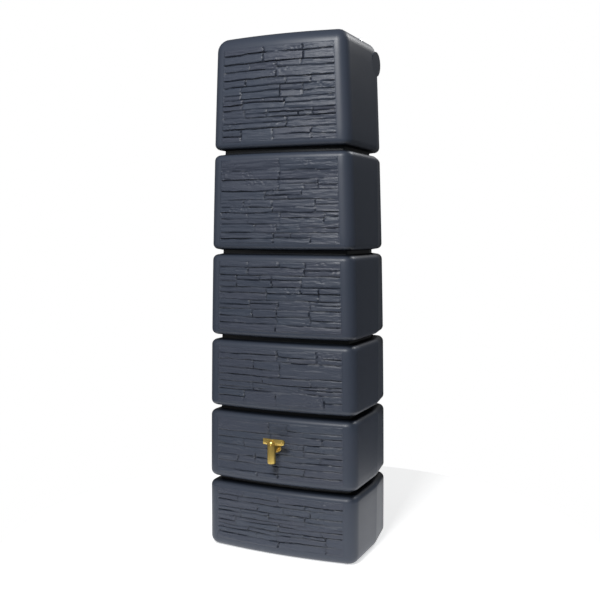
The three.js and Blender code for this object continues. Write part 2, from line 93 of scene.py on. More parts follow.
class Value:
    """A number that varies over a surface: a node's output, with arithmetic."""

    def __init__(self, shader: Shader, socket: bpy.types.NodeSocket) -> None:
        """Keeps the shader that the socket belongs to."""
        self.shader = shader
        self.socket = socket

    def _math(self, operation: str, first: Any, second: Any) -> Value:
        """Adds one Math node.

        Args:
            operation: the node's operation.
            first: its first number, a Value or a float.
            second: its second number.

        Returns:
            The node's result.
        """
        return self.shader.add("ShaderNodeMath", {"operation": operation}, {0: first, 1: second})

    def __add__(self, other: Any) -> Value:
        """self + other."""
        return self._math("ADD", self, other)

    __radd__ = __add__

    def __sub__(self, other: Any) -> Value:
        """self - other."""
        return self._math("SUBTRACT", self, other)

    def __rsub__(self, other: Any) -> Value:
        """other - self."""
        return self._math("SUBTRACT", other, self)

    def __mul__(self, other: Any) -> Value:
        """self * other."""
        return self._math("MULTIPLY", self, other)

    __rmul__ = __mul__

    def clamped(self) -> Value:
        """The value, kept from 0 to 1."""
        return self.shader.add("ShaderNodeClamp", {}, {"Value": self})


class Shader:
    """The node tree of one material."""

    def __init__(self, name: str) -> None:
        """Starts a material of this name with an empty tree."""
        self.material = bpy.data.materials.new(name)
        self.material.use_nodes = True
        self.tree = self.material.node_tree
        self.tree.nodes.clear()

    def add(
        self,
        kind: str,
        settings: Mapping[str, Any] | None = None,
        sockets: Mapping[str | int, Any] | None = None,
        output: str | int = 0,
    ) -> Value:
        """Adds a node of any type.

        Args:
            kind: the node's type.
            settings: its properties, which are set first; "stops" fills a colour ramp.
            sockets: what each input holds, a Value to link or a plain value.
            output: the output to return.

        Returns:
            The chosen output.
        """
        node = self.tree.nodes.new(kind)
        for key, value in (settings or {}).items():
            if key == "stops":
                self._fill_ramp(node, value)
            else:
                setattr(node, key, value)
        for key, value in (sockets or {}).items():
            if isinstance(value, Value):
                self.tree.links.new(value.socket, node.inputs[key])
            else:
                node.inputs[key].default_value = value
        return Value(self, node.outputs[output])

    @staticmethod
    def _fill_ramp(node: bpy.types.Node, stops: Sequence[tuple[float, float]]) -> None:
        """Gives a colour ramp its stops, as (position, grey) pairs."""
        elements = node.color_ramp.elements
        while len(elements) > len(stops):
            elements.remove(elements[-1])
        while len(elements) < len(stops):
            elements.new(1.0)
        for element, (position, grey) in zip(elements, stops, strict=True):
            element.position = position
            element.color = (grey, grey, grey, 1)

    def place(self, scale: Sequence[float] = (1, 1, 1)) -> Value:
        """The point on the piece in the frame's axes, with each axis scaled."""
        point = self.add("ShaderNodeTexCoord", output="Object")
        return self.add("ShaderNodeMapping", {}, {"Vector": point, "Scale": scale})

    def noise(self, size: float, detail: float = 3, stretch: Sequence[float] = (1, 1, 1)) -> Value:
        """Smooth noise from 0 to 1.

        Args:
            size: how large its blotches are, in metres.
            detail: how many finer octaves it holds.
            stretch: how far each axis is squeezed, above 1, or drawn out, below 1.

        Returns:
            The noise's value.
        """
        sockets = {"Vector": self.place(stretch), "Scale": 1 / size, "Detail": detail}
        return self.add("ShaderNodeTexNoise", {}, sockets)

    def attribute(self, name: str) -> Value:
        """A number that the mesh holds at each of its points."""
        return self.add("ShaderNodeAttribute", {"attribute_name": name}, {}, "Fac")

    def mix(self, factor: Any, first: Any, second: Any) -> Value:
        """Two colours, blended by a factor."""
        settings = {"data_type": "RGBA", "clamp_factor": True}
        return self.add("ShaderNodeMix", settings, {0: factor, 6: first, 7: second}, 2)

    def bump(self, height: Value, depth: float, under: Value | None = None) -> Value:
        """A normal that a height from 0 to 1 has roughened.

        Args:
            height: the height.
            depth: how far 0 is below 1, in metres.
            under: another bump's normal to add this one to.

        Returns:
            The normal.
        """
        sockets: dict[str | int, Any] = {"Height": height, "Distance": depth, "Strength": 1.0}
        if under is not None:
            sockets["Normal"] = under
        return self.add("ShaderNodeBump", {}, sockets)

    def finish(self, **sockets: Any) -> bpy.types.Material:
        """Ends the tree with a Principled shader, its inputs given by name with _ for a space."""
        named = {key.replace("_", " "): value for key, value in sockets.items()}
        surface = self.add("ShaderNodeBsdfPrincipled", {}, named)
        self.add_output(surface)
        return self.material

    def add_output(self, surface: Value) -> None:
        """Links a shader to the material's output."""
        node = self.tree.nodes.new("ShaderNodeOutputMaterial")
        self.tree.links.new(surface.socket, node.inputs["Surface"])


def rgba(colour: Colour, times: float = 1.0) -> tuple[float, float, float, float]:
    """A colour with its alpha, made lighter or darker by a factor."""
    return (colour[0] * times, colour[1] * times, colour[2] * times, 1.0)


# ---- finishes --------------------------------------------------------------------------


@dataclass(frozen=True)
class MouldedPlastic:
    """A plain moulded plastic: a fine grain, faint clouds of tone and an uneven sheen."""

    name: str
    colour: Colour
    roughness: float
    grain: float = 0.9 * MM
    grain_depth: float = 0.05 * MM
    cloud: float = 60 * MM

    def make(self) -> bpy.types.Material:
        """The finish as a material."""
        shader = Shader(self.name)
        clouds = shader.noise(self.cloud, 2)
        grain = shader.noise(self.grain, 2)
        return shader.finish(
            Base_Color=shader.mix(clouds, rgba(self.colour, 0.85), rgba(self.colour, 1.15)),
            Roughness=self.roughness + (clouds - 0.5) * 0.16 + (grain - 0.5) * 0.1,
            Normal=shader.bump(grain, self.grain_depth),
        )


@dataclass(frozen=True)
class TankPlastic:
    """The tank's polyethylene: satin and smooth, layered like slate on its stone panels.

    The mesh says where the stone is, how deep a point lies in a joint or groove, and each
    stone's own tone. The deeper a point lies, the more of the near-black joint colour is mixed in:
    painted shade in the grooves between the blocks, and in the panels dark joints that are partly
    painted shade.
    """

    name: str = "graphite_polyethylene"
    # near-black: painted shade in the grooves, and dark joints, partly painted shade, in the panels
    joint_and_shade_colour: Colour = (0.003, 0.005, 0.009)
    cool: Colour = (0.037, 0.051, 0.075)
    warm: Colour = (0.045, 0.051, 0.074)
    roughness: float = 0.44
    grain: float = 1.2 * MM
    grain_depth: float = 0.05 * MM
    slate: float = 5 * MM
    slate_depth: float = 1.5 * MM

    def make(self) -> bpy.types.Material:
        """The finish as a material."""
        shader = Shader(self.name)
        stone = shader.attribute("stone")
        dark_joints_and_painted_shade = shader.attribute("dark_joints_and_painted_shade")
        tone = shader.attribute("tone")
        clouds = shader.noise(130 * MM, 3)
        layers = shader.noise(self.slate, 5, (0.12, 1, 1.3))
        grain = shader.noise(self.grain, 2)
        hue = shader.mix((clouds * 0.5 + tone * 0.5).clamped(), rgba(self.cool), rgba(self.warm))
        faces = shader.mix(stone * layers * 0.5, hue, rgba(self.warm, 1.25))
        smooth = shader.bump(grain, self.grain_depth)
        return shader.finish(
            # painted shade: darker by depth in the grooves, and in the stone joints dark joints partly
            # painted shade
            Base_Color=shader.mix(dark_joints_and_painted_shade, faces, rgba(self.joint_and_shade_colour)),
            Roughness=self.roughness + (clouds - 0.5) * 0.1 + stone * (layers - 0.4) * 0.25,
            Normal=shader.bump(stone * layers, self.slate_depth, smooth),
        )


@dataclass(frozen=True)
class CastMetal:
    """A metal with fine wear: brushed streaks, faint tarnish and a soft grain."""

    name: str
    colour: Colour
    tarnish: Colour
    roughness: float
    streaks: tuple[float, float, float] = (1, 1, 1)
    streak: float = 0.8 * MM
    depth: float = 0.02 * MM

    def make(self) -> bpy.types.Material:
        """The finish as a material."""
        shader = Shader(self.name)
        worn = shader.noise(9 * MM, 4)
        streaks = shader.noise(self.streak, 3, self.streaks)
        patches = shader.add(
            "ShaderNodeValToRGB", {"stops": ((0.45, 0.0), (0.75, 1.0))}, {"Fac": worn}
        )
        return shader.finish(
            Base_Color=shader.mix(patches * 0.6, rgba(self.colour), rgba(self.tarnish)),
            Metallic=1.0,
            Roughness=self.roughness + (streaks - 0.5) * 0.16 + (worn - 0.5) * 0.12,
            Normal=shader.bump(streaks, self.depth),
        )


@dataclass(frozen=True)
class StudioFloor:
    """A matt white floor that glows a little, so that it stays white under soft light."""

    name: str = "studio_floor"
    glow: float = 0.66

    def make(self) -> bpy.types.Material:
        """The finish as a material."""
        shader = Shader(self.name)
        white = (0.9, 0.9, 0.9, 1)
        return shader.finish(
            Base_Color=white, Roughness=0.9, Emission_Color=white, Emission_Strength=self.glow
        )


class Finish(Enum):
    """Every finish on the barrel, with the record's slot that it belongs to."""

    TANK = ("graphite_plastic", TankPlastic())
    LID = (
        "graphite_plastic",
        MouldedPlastic("graphite_lid", (0.06, 0.075, 0.098), 0.46, 1.1 * MM, 0.06 * MM),
    )
    BLACK = ("black_plastic", MouldedPlastic("black_plastic", (0.018, 0.019, 0.021), 0.42))
    RUBBER = (
        "seal_rubber",
        MouldedPlastic("seal_rubber", (0.012, 0.012, 0.013), 0.8, 0.5 * MM, 0.03 * MM, 12 * MM),
    )
    TAP = ("tap_brass", CastMetal("tap_gold", (0.92, 0.65, 0.19), (0.68, 0.5, 0.15), 0.36))
    INSERT = (
        "insert_brass",
        CastMetal("turned_brass", (0.68, 0.5, 0.22), (0.45, 0.33, 0.16), 0.36, (1, 1, 0.1)),
    )
    ZINC = (
        "zinc_steel",
        CastMetal("zinc_plate", (0.62, 0.65, 0.68), (0.5, 0.52, 0.5), 0.4, streak=2.5 * MM),
    )
    STEEL = (
        "plain_steel",
        CastMetal("bright_steel", (0.7, 0.71, 0.72), (0.52, 0.52, 0.52), 0.28, (1, 1, 0.1)),
    )

    @property
    def slot(self) -> str:
        """The record's material slot."""
        return self.value[0]

    def material(self) -> bpy.types.Material:
        """The finish's material, made once."""
        maker = self.value[1]
        return bpy.data.materials.get(maker.name) or maker.make()


# ---- meshes ----------------------------------------------------------------------------


class Along(Enum):
    """The axis that a turned piece lies along, as the turn that takes +Z to it."""

    UP = Matrix.Identity(4)
    BACK = Matrix.Rotation(-math.pi / 2, 4, "X")
    RIGHT = Matrix.Rotation(math.pi / 2, 4, "Y")


class Draft:
    """A mesh being made: points and faces, with numbers held at the points."""

    def __init__(self) -> None:
        """Starts empty."""
        self.points: list[np.ndarray] = []
        self.faces: list[tuple[int, ...]] = []
        self.count = 0

    def add(self, points: np.ndarray) -> np.ndarray:
        """Adds points and returns their numbers."""
        points = np.asarray(points, float).reshape(-1, 3)
        self.points.append(points)
        numbers = np.arange(self.count, self.count + len(points))
        self.count += len(points)
        return numbers

    def grid(self, rows: np.ndarray, wrap: bool, skip: Callable[[int, int], bool] | None = None) -> None:
        """Fills a grid of point numbers with four-sided faces.

        Args:
            rows: the point numbers, row by row.
            wrap: whether each row closes on itself.
            skip: says which faces to leave out, by row and column.
        """
        height, width = rows.shape
        for r in range(height - 1):
            for c in range(width if wrap else width - 1):
                if skip is None or not skip(r, c):
                    n = (c + 1) % width
                    self.faces.append((rows[r, c], rows[r, n], rows[r + 1, n], rows[r + 1, c]))

    def fan(self, centre: int, ring: Sequence[int], flip: bool = False) -> None:
        """Closes a ring of points with triangles to a centre."""
        for a, b in zip(ring, np.roll(ring, -1), strict=True):
            self.faces.append((centre, b, a) if flip else (centre, a, b))

    def zip_rows(self, coarse: Sequence[int], fine: Sequence[int]) -> None:
        """Joins two rows of points that run side by side but hold different numbers of them."""
        i = j = 0
        last_i, last_j = len(coarse) - 1, len(fine) - 1
        while i < last_i or j < last_j:
            if j < last_j and (i == last_i or (j + 0.5) / last_j < (i + 0.5) / last_i):
                self.faces.append((coarse[i], fine[j + 1], fine[j]))
                j += 1
            else:
                self.faces.append((coarse[i], coarse[i + 1], fine[j]))
                i += 1

    def build(self, name: str, attributes: Mapping[str, np.ndarray] | None = None) -> bpy.types.Object:
        """Makes the object.

        Args:
            name: the object's name.
            attributes: numbers held at the points, by name.

        Returns:
            The object, smooth shaded and in the scene.
        """
        mesh = bpy.data.meshes.new(name)
        faces = [tuple(int(v) for v in face) for face in self.faces]
        mesh.from_pydata(np.concatenate(self.points).tolist(), [], faces)
        for key, values in (attributes or {}).items():
            layer = mesh.attributes.new(key, "FLOAT", "POINT")
            layer.data.foreach_set("value", np.asarray(values, np.float32))
        mesh.validate()
        mesh.shade_smooth()
        made = bpy.data.objects.new(name, mesh)
        bpy.context.scene.collection.objects.link(made)
        return made


def rounded(profile: Profile, radius: float, steps: int = 3) -> list[tuple[float, float]]:
    """A profile with its inner corners rounded.

    Args:
        profile: the corners, as (radius, height) pairs.
        radius: how far from each corner its round edge starts, at most.
        steps: how many stretches each round edge has.

    Returns:
        The profile with an arc at each corner but its two ends.
    """
    points = [Vector(p) for p in profile]
    made = [tuple(points[0])]
    for before, corner, after in zip(points, points[1:], points[2:], strict=False):
        back, on = before - corner, after - corner
        reach = min(radius, back.length * 0.45, on.length * 0.45)
        start, end = corner + back.normalized() * reach, corner + on.normalized() * reach
        for k in range(steps + 1):
            t = k / steps
            made.append(tuple(start.lerp(corner, t).lerp(corner.lerp(end, t), t)))
    made.append(tuple(points[-1]))
    return made


def turned(
    name: str,
    profile: Profile,
    at: Vector,
    along: Along = Along.UP,
    segments: int = 64,
    shape: Callable[[float, float, float], float] | None = None,
) -> bpy.types.Object:
    """A turned piece.

    Args:
        name: its name.
        profile: (radius, height) pairs, from axis to axis or closed on themselves.
        at: where height 0 on its axis is.
        along: the axis that it lies along.
        segments: how many flats it has round it.
        shape: changes the radius at an angle, a radius and a height, for flats or threads.

    Returns:
        The object.
    """
    closed = profile[0] == profile[-1]
    ring_points = list(profile[:-1] if closed else profile)
    draft = Draft()
    place = Matrix.Translation(at) @ along.value
    rows: list[np.ndarray] = []
    angles = [TURN * k / segments for k in range(segments)]
    poles: dict[int, int] = {}
    for index, (radius, height) in enumerate(ring_points):
        if radius <= 0:
            poles[index] = int(draft.add(np.array(place @ Vector((0, 0, height))))[0])
            continue
        radii = [shape(a, radius, height) if shape else radius for a in angles]
        circle = [
            place @ Vector((r * math.cos(a), r * math.sin(a), height))
            for a, r in zip(angles, radii, strict=True)
        ]
        rows.append(draft.add(np.array(circle)))
    grid = np.array(rows + ([rows[0]] if closed else []))
    draft.grid(grid, wrap=True)
    if 0 in poles:
        draft.fan(poles[0], rows[0], flip=True)
    if len(ring_points) - 1 in poles:
        draft.fan(poles[len(ring_points) - 1], rows[-1])
    made = draft.build(name)
    face_out(made)
    return made


def face_out(piece: bpy.types.Object) -> None:
    """Turns a closed mesh's faces outwards."""
    work = bmesh.new()
    work.from_mesh(piece.data)
    bmesh.ops.recalc_face_normals(work, faces=work.faces)
    work.to_mesh(piece.data)
    work.free()


def hexagonal(across: float) -> Callable[[float, float, float], float]:
    """A shape that cuts a turned piece to a hexagon of this width across its flats."""

    def shape(angle: float, radius: float, _height: float) -> float:
        """The radius, no further out than the nearest flat."""
        off = (angle % (math.pi / 3)) - math.pi / 6
        return min(radius, across / 2 / math.cos(off))

    return shape


def threaded(pitch: float, depth: float, low: float, high: float) -> Callable[[float, float, float], float]:
    """A shape that cuts a thread into a turned piece.

    Args:
        pitch: the height of one turn.
        depth: how deep it is cut.
        low: the height where it starts.
        high: the height where it ends.

    Returns:
        The shape, which leaves radii outside those heights alone.
    """

    def shape(angle: float, radius: float, height: float) -> float:
        """The radius, less the thread's depth there."""
        if not low <= height <= high:
            return radius
        phase = (height / pitch - angle / TURN) % 1
        return radius - depth * abs(2 * phase - 1)

    return shape


def threaded_bar(radius: float, low: float, high: float, pitch: float) -> list[tuple[float, float]]:
    """The side of a bar as a profile that is fine enough to hold a thread."""
    steps = max(2, math.ceil((high - low) / pitch * 6))
    return [(radius, low + (high - low) * k / steps) for k in range(steps + 1)]


def extruded(
    name: str,
    outline: Sequence[tuple[float, float]],
    low: float,
    high: float,
    along: Along = Along.UP,
    bevel: float = 0.0,
) -> bpy.types.Object:
    """A plate with an outline and bevelled edges.

    Args:
        name: its name.
        outline: (x, y) pairs round it; for Along.BACK they are (x, z) pairs.
        low: its lower face.
        high: its upper face.
        along: the axis that it is thick along.
        bevel: the width of its bevelled edges.

    Returns:
        The object.
    """

    def place(u: float, v: float, w: float) -> Vector:
        """A point of the outline at a depth."""
        return {
            Along.UP: Vector((u, v, w)),
            Along.BACK: Vector((u, w, v)),
            Along.RIGHT: Vector((w, u, v)),
        }[along]

    work = bmesh.new()
    face = work.faces.new([work.verts.new(place(u, v, low)) for u, v in outline])
    other = bmesh.ops.extrude_face_region(work, geom=[face])["geom"]
    step = place(0, 0, high) - place(0, 0, low)
    bmesh.ops.translate(work, vec=step, verts=[g for g in other if isinstance(g, bmesh.types.BMVert)])
    bmesh.ops.recalc_face_normals(work, faces=work.faces)
    if bevel:
        sharp = [e for e in work.edges if e.calc_face_angle(0) > math.radians(40)]
        bmesh.ops.bevel(work, geom=sharp, offset=bevel, segments=2, profile=0.5, affect="EDGES")
    mesh = bpy.data.meshes.new(name)
    work.to_mesh(mesh)
    work.free()
    made = bpy.data.objects.new(name, mesh)
    bpy.context.scene.collection.objects.link(made)
    return made


class Cut(Enum):
    """How one solid changes another."""

    JOIN = "UNION"
    REMOVE = "DIFFERENCE"


def combine(piece: bpy.types.Object, how: Cut, tools: Sequence[bpy.types.Object]) -> None:
    """Joins tools to a piece, or cuts them out of it, and removes the tools."""
    for tool in tools:
        step = piece.modifiers.new("cut", "BOOLEAN")
        step.operation = how.value
        step.object = tool
        step.solver = "EXACT"
        graph = bpy.context.evaluated_depsgraph_get()
        done = bpy.data.meshes.new_from_object(piece.evaluated_get(graph))
        work = bmesh.new()
        work.from_mesh(done)
        bmesh.ops.remove_doubles(work, verts=work.verts, dist=SAME_POINT)
        work.to_mesh(done)
        work.free()
        piece.modifiers.clear()
        old = piece.data
        piece.data = done
        bpy.data.meshes.remove(old)
        spent = tool.data
        bpy.data.objects.remove(tool)
        bpy.data.meshes.remove(spent)


def dress(
    piece: bpy.types.Object, finish: Finish, body: str, nodes: Sequence[str], sharp: float | None = 35
) -> None:
    """Finishes a piece: its material, its body, and the nodes that it stands for.

    Args:
        piece: the piece.
        finish: its finish.
        body: the body that it moves with.
        nodes: the nodes that it replaces.
        sharp: the angle in degrees above which its edges show as edges, or None for none.
    """
    piece.data.materials.clear()
    piece.data.materials.append(finish.material())
    if sharp is not None:
        piece.data.shade_smooth()
        piece.data.set_sharp_from_angle(angle=math.radians(sharp))
    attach(piece, body)
    finish.slot
    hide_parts(*nodes)
    LOG.info("%s stands for %s, %d faces", piece.name, ", ".join(nodes), len(piece.data.polygons))


def middle(node: str) -> Vector:
    """The centre of a node's box."""
    low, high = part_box(node)
    return (low + high) / 2


# ---- the stone look --------------------------------------------------------------------


def lattice_noise(x: np.ndarray, y: np.ndarray, draw: np.random.Generator) -> np.ndarray:
    """Smooth noise from -1 to 1 over points, one lattice cell to a unit.

    Args:
        x: the points' places across.
        y: the points' places up.
        draw: the source of the lattice's numbers.

    Returns:
        The noise at each point.
    """
    left, low = math.floor(x.min()), math.floor(y.min())
    wide, tall = math.ceil(x.max()) - left + 2, math.ceil(y.max()) - low + 2
    cells = draw.uniform(-1, 1, (wide, tall))
    i, j = np.floor(x).astype(int), np.floor(y).astype(int)
    u, v = x - i, y - j
    u, v = u * u * (3 - 2 * u), v * v * (3 - 2 * v)
    i, j = i - left, j - low
    near = cells[i, j] * (1 - v) + cells[i, j + 1] * v
    far = cells[i + 1, j] * (1 - v) + cells[i + 1, j + 1] * v
    return near * (1 - u) + far * u


def eased(t: np.ndarray) -> np.ndarray:
    """A smooth step of a value from 0 to 1."""
    t = np.clip(t, 0, 1)
    return t * t * (3 - 2 * t)


@dataclass(frozen=True)
class Stone:
    """One stone of a panel: its corners, how far it stands out and how it leans."""

    left: float
    right: float
    low: float
    high: float
    out: float
    lean_across: float
    lean_up: float
    tone: float


@dataclass
class Ledgestone:
    """A panel of long thin stones laid dry, as a height over the panel."""

    seed: int
    courses: int
    strength: float = 1.0
    weak_joints: float = 0.35
    joint: float = 3.6 * MM
    edge: float = 3.2 * MM
    wave: float = 2.2 * MM
    longest: float = 250 * MM
    shortest: float = 70 * MM
    ledge: float = 1.5 * MM

    def lay(self, width: float, height: float, draw: np.random.Generator) -> list[Stone]:
        """Lays the stones of a panel.

        Args:
            width: the panel's width.
            height: the panel's height.
            draw: the source of chance.

        Returns:
            The stones, which fill the panel.
        """
        pairs = max(2, round(self.courses / 1.75))
        heights = draw.uniform(0.6, 1.4, pairs)
        levels = np.concatenate([[0], np.cumsum(heights / heights.sum() * height)])
        stones: list[Stone] = []
        for low, high in zip(levels, levels[1:], strict=False):
            left = -width / 2
            while left < width / 2:
                right = left + draw.uniform(self.shortest, self.longest)
                if width / 2 - right < self.shortest * 0.7:
                    right = width / 2
                stones += self._split(left, right, low, high, draw)
                left = right
        return stones

    def _split(
        self, left: float, right: float, low: float, high: float, draw: np.random.Generator
    ) -> list[Stone]:
        """Splits a block of a course into thinner stones, or leaves it as one."""
        thin = 13 * MM
        if high - low > 2 * thin and draw.random() < 0.86:
            at = low + (high - low) * draw.uniform(0.36, 0.64)
            return self._shorten(left, right, low, at, draw) + self._shorten(
                left, right, at, high, draw
            )
        return [self._stone(left, right, low, high, draw)]

    def _shorten(
        self, left: float, right: float, low: float, high: float, draw: np.random.Generator
    ) -> list[Stone]:
        """Splits a thin stone across its length now and then."""
        if right - left > 1.9 * self.shortest and draw.random() < 0.4:
            at = left + (right - left) * draw.uniform(0.3, 0.7)
            return [
                self._stone(left, at, low, high, draw),
                self._stone(at, right, low, high, draw),
            ]
        return [self._stone(left, right, low, high, draw)]

    def _stone(
        self, left: float, right: float, low: float, high: float, draw: np.random.Generator
    ) -> Stone:
        """One stone with its own stand and lean."""
        return Stone(
            left,
            right,
            low,
            high,
            out=draw.uniform(-1.0, 1.9) * MM,
            lean_across=draw.normal(0, 0.007),
            lean_up=draw.normal(-0.015, 0.05),
            tone=draw.uniform(0, 1),
        )

    def relief(self, x: np.ndarray, z: np.ndarray, width: float, height: float) -> dict[str, np.ndarray]:
        """The panel's surface.

        Args:
            x: each point's place across, from the middle.
            z: each point's place up, from the panel's foot.
            width: the panel's width.
            height: the panel's height.

        Returns:
            How far each point stands out, how deep it is in a joint, and its stone's tone.
        """
        draw = np.random.default_rng(self.seed)
        stones = self.lay(width, height, draw)
        bent_z = z + self.wave * lattice_noise(x / (95 * MM), z / (26 * MM), draw)
        bent_z += 0.5 * self.wave * lattice_noise(x / (28 * MM), z / (14 * MM), draw)
        bent_x = x + 3.5 * MM * lattice_noise(x / (60 * MM), z / (9 * MM), draw)
        grip = lattice_noise(x / (75 * MM), z / (10 * MM), draw) * 0.5 + 0.5
        firm = np.clip(grip * 1.5 + 0.55 - self.weak_joints * 1.6, 0.12, 1.0)
        layers = lattice_noise(x / (70 * MM), z / (5.5 * MM), draw)
        layers += 0.5 * lattice_noise(x / (24 * MM), z / (3.5 * MM), draw)
        steps = np.floor(layers * 2) / 2 + eased((layers * 2 % 1) * 2.5) / 2
        out = np.zeros_like(x)
        depth = np.ones_like(x)
        tone = np.full_like(x, 0.5)
        for stone in stones:
            low = bent_z - stone.low if stone.low > 0 else z
            high = stone.high - bent_z if stone.high < height - MM else height - z
            left = bent_x - stone.left if stone.left > -width / 2 else x + width / 2
            right = stone.right - bent_x if stone.right < width / 2 - MM else width / 2 - x
            inside = np.minimum(np.minimum(low, high), np.minimum(left, right))
            mine = inside >= 0
            face = (
                stone.out
                + stone.lean_across * (x - (stone.left + stone.right) / 2)
                + stone.lean_up * (z - (stone.low + stone.high) / 2)
                + self.ledge * 0.62 * (steps * 0.6 + layers * 0.25)
            )
            risen = eased(inside / self.edge)
            floor = -self.joint * firm + face * (1 - firm)
            out[mine] = (floor + (face - floor) * risen)[mine]
            depth[mine] = ((1 - risen) * firm)[mine]
            tone[mine] = stone.tone
        rough = lattice_noise(x / (5 * MM), z / (3.5 * MM), draw)
        broken = eased((lattice_noise(x / (55 * MM), z / (30 * MM), draw) - 0.45) * 3)
        out += broken * rough * 1.3 * MM + rough * 0.16 * MM
        border = np.minimum(np.minimum(z, height - z), np.minimum(x + width / 2, width / 2 - x))
        kept = eased(border / (2.5 * MM))
        return {"out": out * kept * self.strength, "depth": depth * kept, "tone": tone}


# ---- the tank --------------------------------------------------------------------------


@dataclass
class Tank:
    """The blow-moulded tank: six stacked blocks, a lid recess on top and two filling pads."""

    body: str = "tank"
    taper: float = 42 * MM
    wall: float = 5 * MM
    front_bulge: float = 20 * MM
    crease_low: float = 34 * MM
    crease_high: float = 107 * MM
    rear_narrowing: float = 20 * MM
    front_corner: float = 42 * MM
    rear_corner: float = 30 * MM
    groove_levels: tuple[float, ...] = (249 * MM, 510 * MM, 768 * MM, 1074 * MM, 1425 * MM)
    groove_mouth: float = 18 * MM
    groove_floor: float = 12 * MM
    groove_depth: float = 34 * MM
    lip: float = 20 * MM
    base_edge: float = 32 * MM
    top_edge: float = 46 * MM
    neck_bore: float = 90 * MM
    neck_collar: float = 96 * MM
    recess: float = 128 * MM
    recess_depth: float = 14 * MM
    insert_seat: float = 19.3 * MM
    seat_depth: float = 18.4 * MM
    boss: float = 30 * MM
    boss_depth: float = 20 * MM
    waterway: float = 12 * MM
    pad_radius: float = 43 * MM
    pad_face: float = 250 * MM
    pad_depth: float = 21 * MM
    pad_centre: tuple[float, float] = (111 * MM, 1743 * MM)
    front_columns: int = 16
    panel_columns: int = 120
    panel_rows: float = 2.4 * MM
    corner_steps: int = 10
    rear_shares: tuple[float, ...] = (0.95, 0.92, 0.895, 0.87, 0.75, 0.5, 0.25)
    lip_steps: int = 7
    stone: tuple[Ledgestone, ...] = (
        Ledgestone(seed=61, courses=10, strength=1.15, weak_joints=0.3),
        Ledgestone(seed=52, courses=9, strength=1.1, weak_joints=0.3),
        Ledgestone(seed=43, courses=9, strength=1.15, weak_joints=0.3),
        Ledgestone(seed=34, courses=11, strength=1.3, weak_joints=0.25),
        Ledgestone(seed=25, courses=13, strength=1.35, weak_joints=0.35),
        Ledgestone(seed=16, courses=14, strength=1.35, weak_joints=0.25),
    )
    low: Vector = field(init=False)
    high: Vector = field(init=False)

    def __post_init__(self) -> None:
        """Reads the tank's box from the frame."""
        self.low, self.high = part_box("tank_shell")

    @property
    def height(self) -> float:
        """The height of the tank's top."""
        return self.high.z

    def half_width(self, z: float) -> float:
        """Half the tank's width at a height."""
        return self.high.x - self.taper * (z / self.height) ** 2

    def crease(self, z: float) -> float:
        """Where the crease in the sides is at a height."""
        return self.crease_low + (self.crease_high - self.crease_low) * z / self.height

    def front_shares(self) -> list[float]:
        """The front's columns, as shares of its half width up to the corner, right half only."""
        return [k / (self.front_columns // 2) for k in range(self.front_columns // 2 + 1)]

    def plan(self, z: float, inset: float) -> list[tuple[float, float]]:
        """The tank's outline at a height.

        Args:
            z: the height.
            inset: how far it is moved in.

        Returns:
            Its points, from the left end of the front, anticlockwise from above.
        """
        half = self.half_width(z) - inset
        front = self.low.y + inset
        rear = self.high.y - inset
        front_radius = max(self.front_corner - inset, 9 * MM)
        rear_radius = max(self.rear_corner - inset, 9 * MM)
        corner_x = half - front_radius

        def bulge(x: float) -> float:
            """The front's Y at a place across it."""
            return front + self.front_bulge * (x / half) ** 2

        right = [(share * corner_x, bulge(share * corner_x)) for share in self.front_shares()]
        centre_y = bulge(corner_x) + front_radius
        for k in range(1, self.corner_steps + 1):
            angle = -math.pi / 2 * (1 - k / self.corner_steps)
            right.append(
                (corner_x + front_radius * math.cos(angle), centre_y + front_radius * math.sin(angle))
            )
        crease = self.crease(z)
        rear_x = half - self.rear_narrowing - rear_radius
        rear_start = rear - rear_radius
        flash = 1.5 * MM
        for share in (0.4, 0.8):
            right.append((half, centre_y + (crease - centre_y) * share))
        right += [(half, crease - flash), (half, crease)]
        slope = self.rear_narrowing / (rear_start - crease)
        right.append((half - slope * flash, crease + flash))
        right.append((half - slope * (rear_start - crease) * 0.5, (crease + rear_start) / 2))
        for k in range(self.corner_steps + 1):
            angle = math.pi / 2 * k / self.corner_steps
            right.append(
                (rear_x + rear_radius * math.cos(angle), rear_start + rear_radius * math.sin(angle))
            )
        right += [(rear_x * share, rear) for share in self.rear_shares]
        left = [(-x, y) for x, y in reversed(right[1:])]
        half_front = self.front_columns // 2
        return left[-half_front:] + right + [(0.0, rear)] + left[:-half_front]

    def blocks(self) -> list[tuple[float, float, float, float]]:
        """Each block's low and high edge and their two edge radii, from the base up."""
        half_mouth = self.groove_mouth / 2
        lows = [0.0, *(level + half_mouth for level in self.groove_levels)]
        highs = [*(level - half_mouth for level in self.groove_levels), self.height]
        last = len(lows) - 1
        return [
            (
                low,
                high,
                self.base_edge if n == 0 else self.lip,
                self.top_edge if n == last else self.lip,
            )
            for n, (low, high) in enumerate(zip(lows, highs, strict=True))
        ]

